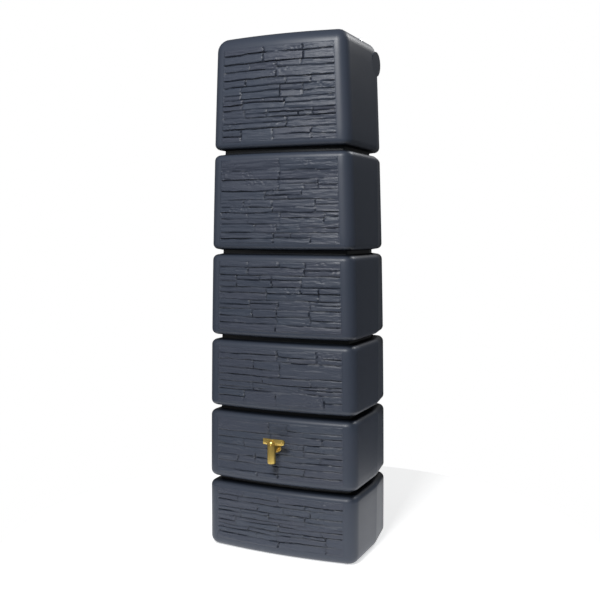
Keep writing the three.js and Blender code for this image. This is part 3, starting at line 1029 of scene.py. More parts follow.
    def levels(self, skin: float, steps: int, rows: int) -> tuple[list[tuple[float, float]], list[int]]:
        """The tank's side profile from base to top.

        Args:
            skin: how far the surface is moved in.
            steps: how many stretches each round edge has.
            rows: how many stretches each block's straight side has.

        Returns:
            (height, inset) pairs, and for each block the level where its straight side starts.
        """
        made: list[tuple[float, float]] = []
        starts: list[int] = []
        blocks = self.blocks()
        for n, (low, high, low_radius, high_radius) in enumerate(blocks):
            for k in range(steps + 1):
                angle = math.pi / 2 * k / steps
                made.append(
                    (
                        low + low_radius - (low_radius - skin) * math.cos(angle),
                        low_radius - (low_radius - skin) * math.sin(angle),
                    )
                )
            starts.append(len(made) - 1)
            foot, head = low + low_radius, high - high_radius
            for k in range(1, rows):
                made.append((foot + (head - foot) * k / rows, skin))
            for k in range(steps + 1):
                angle = math.pi / 2 * k / steps
                made.append(
                    (
                        high - high_radius + (high_radius - skin) * math.sin(angle),
                        high_radius - (high_radius - skin) * math.cos(angle),
                    )
                )
            if n < len(blocks) - 1:
                level = self.groove_levels[n]
                half_floor = self.groove_floor / 2 + skin
                inset = self.groove_depth + skin
                made += [(level - half_floor, inset), (level + half_floor, inset)]
        return made, starts

    def make(self) -> None:
        """Builds the tank, cuts its seats and dresses it."""
        draft = Draft()
        rows_per_side = 8
        outer, starts = self.levels(0, self.lip_steps, rows_per_side)
        columns = len(self.plan(0, 0))
        side = [draft.add(self._ring(z, inset)) for z, inset in outer]
        grid = np.array(side)
        panel_last = self.front_columns - 1

        def in_panel(row: int, column: int) -> bool:
            """Whether a face of the side lies where a stone panel goes."""
            return column <= panel_last and any(s <= row < s + rows_per_side for s in starts)

        draft.grid(grid, wrap=True, skip=in_panel)
        extra = [
            self._panel(draft, grid, start, rows_per_side, block, stone)
            for start, block, stone in zip(starts, self.blocks(), self.stone, strict=True)
        ]
        base_centre = int(draft.add(np.array([(0, 0, 0)]))[0])
        draft.fan(base_centre, side[0], flip=True)
        self._inside(draft, side[-1], columns)
        held = self._attributes(draft, extra)
        piece = draft.build("tank_moulding", held)
        face_out(piece)
        combine(piece, Cut.JOIN, self._bosses())
        combine(piece, Cut.REMOVE, self._seats())
        dress(piece, Finish.TANK, self.body, ["tank_shell"], sharp=50)

    def _ring(self, z: float, inset: float) -> np.ndarray:
        """The outline's points at a height."""
        plan = np.array(self.plan(z, inset))
        return np.column_stack([plan, np.full(len(plan), z)])

    def _circle(self, radius: float, z: float, outline: np.ndarray) -> np.ndarray:
        """A circle about the neck's axis whose points face the outline's points."""
        centre = self.neck_centre()
        away = outline[:, :2] - np.array([centre.x, centre.y])
        away /= np.linalg.norm(away, axis=1)[:, None]
        flat = np.array([centre.x, centre.y]) + radius * away
        return np.column_stack([flat, np.full(len(flat), z)])

    @staticmethod
    def neck_centre() -> Vector:
        """The axis of the neck and lid."""
        return middle("lid_seal")

    def _inside(self, draft: Draft, top_ring: np.ndarray, columns: int) -> None:
        """Adds the recess, the neck and the inner surface to the draft."""
        top = self.height
        outline = self._ring(top, self.top_edge)
        floor = top - self.recess_depth
        soft = 2 * MM
        circles = [
            (self.recess + 3 * soft, top),
            (self.recess + soft, top - 0.3 * soft),
            (self.recess + 0.2 * soft, top - soft),
            (self.recess - 0.5 * soft, floor + soft),
            (self.recess - soft, floor + 0.2 * soft),
            (self.recess - 2 * soft, floor),
            (self.neck_collar + soft, floor),
            (self.neck_collar, floor + soft),
            (self.neck_collar, top - 0.5 * soft),
            (self.neck_collar - 0.5 * soft, top),
            (self.neck_bore + 0.5 * soft, top),
            (self.neck_bore, top - 0.5 * soft),
            (self.neck_bore, floor - self.wall),
            (self.neck_collar, floor - self.wall - soft),
            (self.recess + self.wall, floor - self.wall - soft),
            (self.recess + self.wall + soft, top - self.wall - soft),
        ]
        middle_ring = 0.5 * outline + 0.5 * self._circle(self.recess + 3 * soft, top, outline)
        rings = [top_ring, draft.add(middle_ring)]
        rings += [draft.add(self._circle(radius, z, outline)) for radius, z in circles]
        inner, _ = self.levels(self.wall, 2, 2)
        rings += [draft.add(self._ring(z, inset)) for z, inset in reversed(inner)]
        draft.grid(np.array(rings), wrap=True)
        centre = int(draft.add(np.array([(0, 0, self.wall)]))[0])
        draft.fan(centre, rings[-1])
        LOG.info("the tank's outline has %d columns", columns)

    def _panel(
        self,
        draft: Draft,
        grid: np.ndarray,
        start: int,
        rows: int,
        block: tuple[float, float, float, float],
        stone: Ledgestone,
    ) -> dict[str, np.ndarray]:
        """Fills one block's opening in the front with its stone panel.

        Args:
            draft: the mesh being made.
            grid: the side's point numbers.
            start: the level at the foot of the opening.
            rows: how many levels the opening spans.
            block: the block's edges and radii.
            stone: the panel's stones.

        Returns:
            The panel's point numbers, with the depth and tone at each.
        """
        low, high = block[0] + block[2], block[1] - block[3]
        margin = 1.5 * MM
        fine_rows = round((high - low - 2 * margin) / self.panel_rows)
        heights = np.linspace(low + margin, high - margin, fine_rows + 1)
        shares = np.linspace(-1, 1, self.panel_columns + 1)
        share, z = np.meshgrid(shares, heights)
        half = np.vectorize(self.half_width)(z)
        reach = half - self.front_corner - margin
        x = share * reach
        y = self.low.y + self.front_bulge * (x / half) ** 2
        width = 2 * float(reach.mean())
        relief = stone.relief(share * width / 2, z - heights[0], width, float(heights[-1] - heights[0]))
        out, depth = relief["out"], relief["depth"]
        tap = middle("tap_gasket")
        near = eased((np.hypot(x - tap.x, z - tap.z) - 23 * MM) / (5 * MM))
        if low < tap.z < high:
            out, depth = out * near, depth * near
        slope = -2 * self.front_bulge * x / half**2
        length = np.sqrt(1 + slope**2)
        points = np.stack([x - out * slope / length, y - out / length, z], axis=-1)
        numbers = draft.add(points).reshape(z.shape)
        draft.grid(numbers, wrap=False)
        last = self.front_columns
        edge = grid[start : start + rows + 1, : last + 1]
        draft.zip_rows(edge[0], numbers[0])
        draft.zip_rows(edge[:, -1], numbers[:, -1])
        draft.zip_rows(edge[-1][::-1], numbers[-1][::-1])
        draft.zip_rows(edge[::-1, 0], numbers[::-1, 0])
        return {"numbers": numbers.ravel(), "depth": depth.ravel(), "tone": relief["tone"].ravel()}

    def _attributes(self, draft: Draft, panels: Sequence[Mapping[str, np.ndarray]]) -> dict[str, np.ndarray]:
        """What the tank's finish reads at each point: stone, tone, and how far the joint colour is mixed in,
        which is painted shade in the grooves and dark joints, partly painted shade, in the panels.
        """
        points = np.concatenate(draft.points)
        stone = np.zeros(draft.count)
        dark_joints_and_painted_shade = np.zeros(draft.count)
        tone = np.full(draft.count, 0.5)
        reach = self.groove_mouth / 2 + 4 * MM
        for level in self.groove_levels:
            half = self.high.x - self.taper * (level / self.height) ** 2
            x, y = np.abs(points[:, 0]), points[:, 1]
            bulged = self.low.y + self.front_bulge * (points[:, 0] / half) ** 2
            buried = np.minimum.reduce([half - x, y - bulged, self.high.y - y])
            # painted shade: the deeper a point lies in a groove between blocks, the darker it is painted
            deep = eased((buried - 5 * MM) / (18 * MM))
            near = np.abs(points[:, 2] - level) < reach + self.lip
            dark_joints_and_painted_shade = np.maximum(dark_joints_and_painted_shade, np.where(near, deep, 0))
        for panel in panels:
            stone[panel["numbers"]] = 1
            # dark joints, partly painted shade: the deeper a point lies in a stone joint, the darker it is
            # painted
            dark_joints_and_painted_shade[panel["numbers"]] = np.maximum(0, panel["depth"]) * 0.85
            tone[panel["numbers"]] = panel["tone"]
        return {"stone": stone, "dark_joints_and_painted_shade": dark_joints_and_painted_shade, "tone": tone}

    def _bosses(self) -> list[bpy.types.Object]:
        """What is joined to the tank: a boss behind each insert and the two filling pads."""
        tap, drain = middle("tap_insert"), middle("drain_insert")
        boss = [(0, 0), (self.boss, 0), (self.boss, self.boss_depth), (0, self.boss_depth)]
        bury = 2 * MM
        disc = [(0, 0), (self.pad_radius, 0), (self.pad_radius, self.pad_depth), (0, self.pad_depth)]
        tap_at = Vector((tap.x, self.low.y + bury, tap.z))
        drain_at = Vector((self.low.x + bury, drain.y, drain.z))
        short = [(r, min(h, self.boss_depth - bury)) for r, h in boss]
        made = [
            turned("tap_boss", short, tap_at, Along.BACK, 48),
            turned("drain_boss", short, drain_at, Along.RIGHT, 48),
        ]
        for start in (self.pad_face - self.pad_depth, -self.pad_face):
            made.append(turned("pad", disc, Vector((start, *self.pad_centre)), Along.RIGHT, 72))
        return made

    def _seats(self) -> list[bpy.types.Object]:
        """What is cut out of the tank: both insert seats, the lock pockets and the screw holes."""
        tap, drain = middle("tap_insert"), middle("drain_insert")
        ahead = 8 * MM
        seat = [
            (0, -ahead),
            (self.insert_seat, -ahead),
            (self.insert_seat, self.seat_depth),
            (self.waterway, self.seat_depth),
            (self.waterway, 2 * self.boss_depth),
            (0, 2 * self.boss_depth),
        ]
        made = [
            turned("tap_seat", seat, Vector((tap.x, self.low.y, tap.z)), Along.BACK, 48),
            turned("drain_seat", seat, Vector((self.low.x, drain.y, drain.z)), Along.RIGHT, 48),
        ]
        facing = [(0, 0), (self.pad_radius, 0), (self.pad_radius, self.pad_depth), (0, self.pad_depth)]
        for start in (self.pad_face, -self.pad_face - self.pad_depth):
            made.append(turned("facing", facing, Vector((start, *self.pad_centre)), Along.RIGHT, 72))
        for side in ("left", "right"):
            for node, radius in ((f"lid_lock_{side}", 6.3 * MM), (f"bracket_insert_{side}", 8.3 * MM)):
                at = middle(node)
                deep = self.height - 20.3 * MM
                hole = [(0, deep), (radius, deep), (radius, self.height + ahead), (0, self.height + ahead)]
                made.append(turned("hole", hole, Vector((at.x, at.y, 0)), Along.UP, 32))
        return made


# ---- the lid ---------------------------------------------------------------------------


def slot_outline(length: float, width: float, at: tuple[float, float], steps: int = 12) -> list:
    """A bar with round ends, as an outline.

    Args:
        length: its whole length, along the outline's first axis.
        width: its width.
        at: its centre.
        steps: how many stretches each round end has.

    Returns:
        (u, v) pairs round it.
    """
    reach = (length - width) / 2
    made = []
    for side in (1, -1):
        for k in range(steps + 1):
            angle = -math.pi / 2 + math.pi * k / steps
            made.append(
                (
                    at[0] + side * (reach + width / 2 * math.cos(angle)),
                    at[1] + side * width / 2 * math.sin(angle),
                )
            )
    return made


def ribbed(count: int, depth: float, beyond: float) -> Callable[[float, float, float], float]:
    """A shape with ribs round a turned piece, wherever its radius is beyond a limit."""

    def shape(angle: float, radius: float, _height: float) -> float:
        """The radius, less a share of the ribs' depth."""
        if radius < beyond:
            return radius
        return radius - depth * (0.5 - 0.5 * math.cos(count * angle))

    return shape


def tube(name: str, inner: float, outer: float, low: float, high: float, at: Vector, **how: Any) -> Any:
    """A tube with softened edges, between two heights on its axis."""
    soft = min(0.25 * (outer - inner), 0.25 * (high - low), 0.8 * MM)
    side = (inner + outer) / 2
    profile = [(side, low), (outer, low), (outer, high), (inner, high), (inner, low), (side, low)]
    return turned(name, rounded(profile, soft, 2), at, **how)


@dataclass
class Lid:
    """The round lid with its grip, its two ears and their child locks, and the seal."""

    body: str = "lid"
    skirt: float = 4 * MM
    skirt_radius: float = 122 * MM
    ear: float = 15 * MM
    grip_length: float = 150 * MM
    grip_width: float = 26 * MM
    plate: float = 4.3 * MM
    grip_height: float = 13 * MM
    lock_hole: float = 6.3 * MM

    def make(self) -> None:
        """Builds the cover, the seal and both locks."""
        low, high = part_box("lid_cover")
        seal_low, seal_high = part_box("lid_seal")
        centre = middle("lid_seal")
        axis = Vector((centre.x, centre.y, 0))
        top = high.z - self.grip_height
        underside = top - self.plate
        dish = 1.2 * MM
        rim = self.skirt_radius
        profile = [
            (0, top - dish),
            (rim - 15 * MM, top - dish),
            (rim - 12 * MM, top),
            (rim, top),
            (rim, low.z),
            (rim - self.skirt, low.z),
            (rim - self.skirt, underside),
            (0, underside),
        ]
        cover = turned("lid", rounded(profile, 1.8 * MM, 4), axis, segments=128)
        ear_low = seal_low.z + 0.3 * MM
        ears = slot_outline(high.x - low.x, 2 * self.ear, (centre.x, centre.y), 20)
        bar = extruded("ears", ears, ear_low, top, bevel=1.1 * MM)
        inside = rim - self.skirt
        keep_out = [(0, low.z), (inside, low.z), (inside, underside), (0, underside)]
        combine(bar, Cut.REMOVE, [turned("hollow", keep_out, axis, segments=96)])
        grip_outline = slot_outline(self.grip_length, self.grip_width, (centre.x, centre.y), 16)
        grip = extruded("grip", grip_outline, underside + MM, high.z, bevel=2.6 * MM)
        combine(cover, Cut.JOIN, [bar, grip])
        holes = []
        for side in ("left", "right"):
            x = middle(f"lid_lock_{side}").x
            hole = [(0, low.z), (self.lock_hole, low.z), (self.lock_hole, high.z), (0, high.z)]
            holes.append(turned("hole", hole, Vector((x, centre.y, 0)), segments=48))
        combine(cover, Cut.REMOVE, holes)
        dress(cover, Finish.LID, self.body, ["lid_cover"])
        outer = seal_high.x - centre.x
        inner = outer - 5.4 * MM
        seal = tube("lid_seal_ring", inner, outer, seal_low.z, seal_high.z, axis, segments=128)
        dress(seal, Finish.RUBBER, self.body, ["lid_seal"], sharp=60)
        for side in ("left", "right"):
            self._lock(side, top)

    def _lock(self, side: str, plate_top: float) -> None:
        """Builds the child lock of one side."""
        node = f"lid_lock_{side}"
        low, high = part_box(node)
        centre = middle(node)
        head, shank, soft = high.x - centre.x, 6 * MM, 1.2 * MM
        head_low = plate_top + 0.3 * MM
        profile = [
            (0, low.z),
            (shank - soft, low.z),
            (shank, low.z + soft),
            (shank, head_low),
            (head, head_low),
            (head, high.z - 2.2 * MM),
            (head - 1.5 * MM, high.z),
            (0, high.z),
        ]
        axis = Vector((centre.x, centre.y, 0))
        ribs = ribbed(28, 0.5 * MM, head - 0.3 * MM)
        lock = turned(f"child_lock_{side}", rounded(profile, 0.5 * MM, 2), axis, segments=168, shape=ribs)
        width, depth = 1.2 * MM, 2.4 * MM
        outline = [
            (centre.x - head - MM, centre.y - width),
            (centre.x + head + MM, centre.y - width),
            (centre.x + head + MM, centre.y + width),
            (centre.x - head - MM, centre.y + width),
        ]
        combine(lock, Cut.REMOVE, [extruded("slot", outline, high.z - depth, high.z + MM)])
        dress(lock, Finish.BLACK, node, [node])


# ---- the tap ---------------------------------------------------------------------------


@dataclass
class Tap:
    """The quarter-turn tap: body, plug with its seals, clip, nozzle and the lever."""

    body: str = "tank"
    lever: str = "tap_lever"
    inlet: float = 11 * MM
    waterway: float = 7.5 * MM
    thread: float = 13 * MM
    pitch: float = 1.81 * MM
    cut: float = 1.05 * MM
    flange: float = 18 * MM
    flange_thickness: float = 2.5 * MM
    hex_across: float = 27 * MM
    hex_thickness: float = 7 * MM
    barrel: float = 14.4 * MM
    bore: float = 11 * MM
    roof: float = 3.2 * MM
    stem: float = 5 * MM
    drive: float = 7 * MM
    clearance: float = 0.3 * MM
    barrel_top: float = 412 * MM
    drive_top: float = 422 * MM

    def __post_init__(self) -> None:
        """Reads where the tap is from the frame."""
        nozzle, gasket = middle("outlet_nozzle"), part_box("tap_gasket")
        self.axis = Vector((nozzle.x, nozzle.y, 0))
        self.inlet_z = middle("tap_gasket").z
        self.low, self.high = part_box("tap_body")
        self.flange_face = gasket[0].y - self.clearance

    def make(self) -> None:
        """Builds the tap from the wall outwards."""
        self._insert()
        self._body()
        self._plug()
        self._nozzle()
        self._handle()

    def _insert(self) -> None:
        """Builds the brass insert in the tank and the gasket on its face."""
        low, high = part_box("tap_insert")
        outer = (high.z - low.z) / 2
        at = Vector((0, 0, self.inlet_z))
        knurl = ribbed(40, 0.6 * MM, outer - 0.2 * MM)
        how = {"along": Along.BACK, "segments": 160, "shape": knurl}
        insert = tube("tap_insert_sleeve", self.thread + self.clearance, outer, low.y, high.y, at, **how)
        dress(insert, Finish.INSERT, self.body, ["tap_insert"])
        low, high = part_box("tap_gasket")
        inner, outer = self.thread + 2 * self.clearance, (high.z - low.z) / 2
        how = {"along": Along.BACK, "segments": 72}
        gasket = tube("tap_gasket_ring", inner, outer, low.y, high.y, at, **how)
        dress(gasket, Finish.RUBBER, self.body, ["tap_gasket"], sharp=60)

    def _body(self) -> None:
        """Builds the tap's body: the upright barrel, and the inlet with its hexagon."""
        front = self.flange_face - self.flange_thickness
        hex_front = front - self.hex_thickness
        corner = self.hex_across / math.sqrt(3)
        soft = 1.1 * MM
        thread_low = self.flange_face + 2 * MM
        bar = threaded_bar(self.thread, thread_low, self.high.y - 1.2 * MM, self.pitch)
        profile = [
            (0, self.axis.y),
            (self.inlet, self.axis.y),
            (self.inlet, hex_front - 2 * MM),
            (self.inlet + MM, hex_front),
            (corner - 2 * soft, hex_front),
            (corner, hex_front + soft),
            (corner, front - 0.2 * MM),
            (self.flange - 0.7 * MM, front),
            (self.flange, front + 0.7 * MM),
            (self.flange, self.flange_face - 0.6 * MM),
            (self.flange - 0.6 * MM, self.flange_face),
            (self.thread - self.cut, self.flange_face),
            (self.thread - self.cut, thread_low - 0.3 * MM),
            *bar,
            (self.thread - self.cut, self.high.y),
            (0, self.high.y),
        ]
        flats = hexagonal(self.hex_across)
        winding = threaded(self.pitch, self.cut, thread_low, self.high.y - 1.2 * MM)

        def shape(angle: float, radius: float, height: float) -> float:
            """Flats on the hexagon and a thread on the inlet."""
            if hex_front - 0.1 * MM <= height < front - 0.1 * MM and radius > self.inlet + 2 * MM:
                return flats(angle, radius, height)
            return winding(angle, radius, height)

        at = Vector((0, 0, self.inlet_z))
        inlet = turned("inlet", profile, at, Along.BACK, 96, shape)
        round_edge = 1.5 * MM
        barrel_profile = [
            (0, self.low.z),
            (self.barrel - round_edge, self.low.z),
            (self.barrel, self.low.z + round_edge),
            (self.barrel, self.barrel_top),
            (0, self.barrel_top),
        ]
        piece = turned("tap_barrel", rounded(barrel_profile, 0.8 * MM, 3), self.axis, segments=96)
        combine(piece, Cut.JOIN, [inlet])
        bore_top = self.barrel_top - self.roof
        clip = middle("plug_clip").z
        groove = 1.1 * MM
        hollow = [
            (0, self.low.z - MM),
            (self.bore, self.low.z - MM),
            (self.bore, clip - groove),
            (self.bore + 1.2 * MM, clip - groove),
            (self.bore + 1.2 * MM, clip + groove),
            (self.bore, clip + groove),
            (self.bore, bore_top),
            (self.stem + self.clearance, bore_top),
            (self.stem + self.clearance, self.barrel_top + MM),
            (0, self.barrel_top + MM),
        ]
        way = [
            (0, self.axis.y),
            (self.waterway, self.axis.y),
            (self.waterway, self.high.y + MM),
            (0, self.high.y + MM),
        ]
        cuts = [
            turned("hollow", hollow, self.axis, segments=72),
            turned("waterway", way, at, Along.BACK, 48),
        ]
        combine(piece, Cut.REMOVE, cuts)
        dress(piece, Finish.TAP, self.body, ["tap_body"])

    def _plug(self) -> None:
        """Builds the turning plug, its two seals and the clip that holds it up."""
        low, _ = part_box("tap_plug")
        radius, bore, roof = 10.6 * MM, 7 * MM, 4 * MM
        top = self.barrel_top - self.roof - 2 * self.clearance
        seals = [middle("plug_ring_lower").z, middle("plug_ring_upper").z]
        reach, floor = 1.15 * MM, 8.9 * MM
        grooves = [
            point
            for z in seals
            for point in (
                (radius, z - reach),
                (floor, z - reach),
                (floor, z + reach),
                (radius, z + reach),
            )
        ]
        screw = 2.3 * MM
        square_low = self.barrel_top + 0.2 * MM
        profile = [
            (0, top - roof),
            (bore, top - roof),
            (bore, low.z),
            (radius - 0.5 * MM, low.z),
            (radius, low.z + 0.5 * MM),
            *grooves,
            (radius, top),
            (self.stem, top),
            (self.stem, self.barrel_top),
            (self.stem, square_low),
            (self.stem, self.drive_top),
            (screw, self.drive_top),
            (screw, self.barrel_top),
            (0, self.barrel_top),
        ]

        def shape(angle: float, size: float, height: float) -> float:
            """A square on the drive above the stem."""
            if height < square_low or size < screw + MM:
                return size
            off = (angle % (math.pi / 2)) - math.pi / 4
            return min(size, self.drive / 2 / math.cos(abs(math.pi / 4 - abs(off))))

        plug = turned("turning_plug", profile, self.axis, segments=96, shape=shape)
        window = [(0, -2 * radius), (6.5 * MM, -2 * radius), (6.5 * MM, 0), (0, 0)]
        at = Vector((0, self.axis.y, self.inlet_z))
        combine(plug, Cut.REMOVE, [turned("window", window, at, Along.RIGHT, 48)])
        dress(plug, Finish.BLACK, self.lever, ["tap_plug"])
        section = 0.85 * MM
        for node in ("plug_ring_lower", "plug_ring_upper"):
            z = middle(node).z
            circle = [
                (
                    radius - section + 0.15 * MM + section * math.cos(TURN * k / 16),
                    z + section * math.sin(TURN * k / 16),
                )
                for k in range(16)
            ]
            ring = turned(f"{node}_seal", [*circle, circle[0]], self.axis, segments=72)
            dress(ring, Finish.RUBBER, self.lever, [node], sharp=None)
        low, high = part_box("plug_clip")
        outer = (high.x - low.x) / 2
        clip = tube("plug_clip_ring", 8 * MM, outer, low.z, high.z, self.axis, segments=72)
        half = 1.2 * MM
        gap = [(outer - 5 * MM, -half), (outer + MM, -half), (outer + MM, half), (outer - 5 * MM, half)]
        outline = [(x, y + self.axis.y) for x, y in gap]
        combine(clip, Cut.REMOVE, [extruded("gap", outline, low.z - MM, high.z + MM)])
        dress(clip, Finish.STEEL, self.body, ["plug_clip"])

    def _nozzle(self) -> None:
        """Builds the dark tube in the barrel's mouth."""
        low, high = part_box("outlet_nozzle")
        outer = (high.x - low.x) / 2
        nozzle = tube("nozzle", 8 * MM, outer, low.z, high.z, self.axis, segments=72)
        dress(nozzle, Finish.BLACK, self.body, ["outlet_nozzle"])

    def _handle(self) -> None:
        """Builds the lever and the screw that holds it."""
        low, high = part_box("tap_handle")
        thickness, dome_top = 9 * MM, 429 * MM
        radius = (high.z - low.z) / 2
        tip = high.x - radius
        mid_z = low.z + radius
        outline = [(low.x, low.z)]
        for k in range(17):
            angle = -math.pi / 2 + math.pi * k / 16
            outline.append((tip + radius * math.cos(angle), mid_z + radius * math.sin(angle)))
        outline.append((low.x, high.z))
        y = self.axis.y
        bar = extruded("bar", outline, y - thickness / 2, y + thickness / 2, Along.BACK, 1.3 * MM)
        base = dome_top - self.barrel
        angles = [math.pi / 2 * k / 14 for k in range(15)]
        dome = [(self.barrel * math.cos(a), base + self.barrel * math.sin(a)) for a in angles]
        hub = [(0, low.z), (self.barrel - 0.8 * MM, low.z), (self.barrel, low.z + 0.8 * MM), *dome]
        hub[-1] = (0, dome_top)
        piece = turned("lever", hub, self.axis, segments=96)
        combine(piece, Cut.JOIN, [bar])
        socket = self.drive / 2 + self.clearance
        square = [
            (-socket, y - socket), (socket, y - socket), (socket, y + socket), (-socket, y + socket)
        ]
        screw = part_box("handle_screw")
        head = (screw[1].x - screw[0].x) / 2 + self.clearance
        shank = 2.3 * MM
        seat = high.z - 3.2 * MM
        pocket = [
            (0, self.drive_top),
            (shank, self.drive_top),
            (shank, seat),
            (head, seat),
            (head, high.z + MM),
            (0, high.z + MM),
        ]
        dimple = [(0, -MM), (3 * MM, -MM), (3 * MM, 1.2 * MM), (1.6 * MM, 2 * MM), (0, 2 * MM)]
        cuts = [
            extruded("socket", square, low.z - MM, self.drive_top + self.clearance),
            turned("pocket", pocket, self.axis, segments=48),
            turned("dimple", dimple, Vector((tip, y - thickness / 2, mid_z)), Along.BACK, 48),
        ]
        combine(piece, Cut.REMOVE, cuts)
        dress(piece, Finish.TAP, self.lever, ["tap_handle"])
        self._screw(screw)

    def _screw(self, box: tuple[Vector, Vector]) -> None:
        """Builds the lever's slotted screw."""
        low, high = box
        head, shank, thick = (high.x - low.x) / 2, 2 * MM, 2.6 * MM
        profile = [
            (0, low.z),
            (shank - 0.5 * MM, low.z),
            *threaded_bar(shank, low.z + 0.5 * MM, high.z - thick - 0.5 * MM, 0.7 * MM),
            (shank, high.z - thick),
            (head, high.z - thick),
            (head, high.z - 0.7 * MM),
            (head - 0.8 * MM, high.z),
            (0, high.z),
        ]
        cut = threaded(0.7 * MM, 0.35 * MM, low.z, high.z - thick - 0.4 * MM)
        screw = turned("lever_screw", profile, self.axis, segments=36, shape=cut)
        half, y = 0.5 * MM, self.axis.y
        slot = [(-head, y - half), (head, y - half), (head, y + half), (-head, y + half)]
        combine(screw, Cut.REMOVE, [extruded("slot", slot, high.z - 1.2 * MM, high.z + MM)])
        dress(screw, Finish.STEEL, self.lever, ["handle_screw"])


# ---- the drain -------------------------------------------------------------------------


@dataclass
class Drain:
    """The threaded drain low on the left side, with its plug and seal."""

    body: str = "tank"
    moving: str = "drain_plug"
    thread: float = 13 * MM
    pitch: float = 1.81 * MM
    cut: float = 1.05 * MM
    hex_across: float = 27 * MM
    flange_thickness: float = 2.5 * MM
    clearance: float = 0.3 * MM

    def make(self) -> None:
        """Builds the insert, the seal and the plug."""
        low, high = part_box("drain_insert")
        centre = middle("drain_insert")
        at = Vector((0, centre.y, centre.z))
        outer = (high.y - low.y) / 2
        knurl = ribbed(40, 0.6 * MM, outer - 0.2 * MM)
        how = {"along": Along.RIGHT, "segments": 160, "shape": knurl}
        insert = tube("drain_sleeve", self.thread + self.clearance, outer, low.x, high.x, at, **how)
        dress(insert, Finish.INSERT, self.body, ["drain_insert"])
        low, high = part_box("drain_plug_seal")
        inner, outer = self.thread + 2 * self.clearance, (high.y - low.y) / 2
        how = {"along": Along.RIGHT, "segments": 72}
        seal = tube("drain_seal_ring", inner, outer, low.x, high.x, at, **how)
        dress(seal, Finish.RUBBER, self.moving, ["drain_plug_seal"], sharp=60)
        self._plug(at, low.x - self.clearance)

    def _plug(self, at: Vector, face: float) -> None:
        """Builds the plug: a hexagon, a flange and a thread."""
        low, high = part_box("drain_plug")
        corner = self.hex_across / math.sqrt(3)
        flange = (high.y - low.y) / 2
        front = face - self.flange_thickness
        soft = 1.1 * MM
        start = face + 1.5 * MM
        profile = [
            (0, low.x + 0.8 * MM),
            (9 * MM, low.x + 0.8 * MM),
            (10 * MM, low.x),
            (corner - 2 * soft, low.x),
            (corner, low.x + soft),
            (corner, front - 0.2 * MM),
            (flange - 0.7 * MM, front),
            (flange, front + 0.7 * MM),
            (flange, face - 0.6 * MM),
            (flange - 0.6 * MM, face),
            (self.thread - self.cut, face),
            (self.thread - self.cut, start - 0.3 * MM),
            *threaded_bar(self.thread, start, high.x - 1.2 * MM, self.pitch),
            (self.thread - self.cut, high.x),
            (0, high.x),
        ]
        flats = hexagonal(self.hex_across)
        winding = threaded(self.pitch, self.cut, start, high.x - 1.2 * MM)

        def shape(angle: float, radius: float, height: float) -> float:
            """Flats on the head and a thread on the stub."""
            if height < front - 0.1 * MM and radius > 10.5 * MM:
                return flats(angle, radius, height)
            return winding(angle, radius, height)

        plug = turned("drain_screw_plug", profile, at, Along.RIGHT, 96, shape)
        dress(plug, Finish.BLACK, self.moving, ["drain_plug"])


# ---- the wall brackets -----------------------------------------------------------------


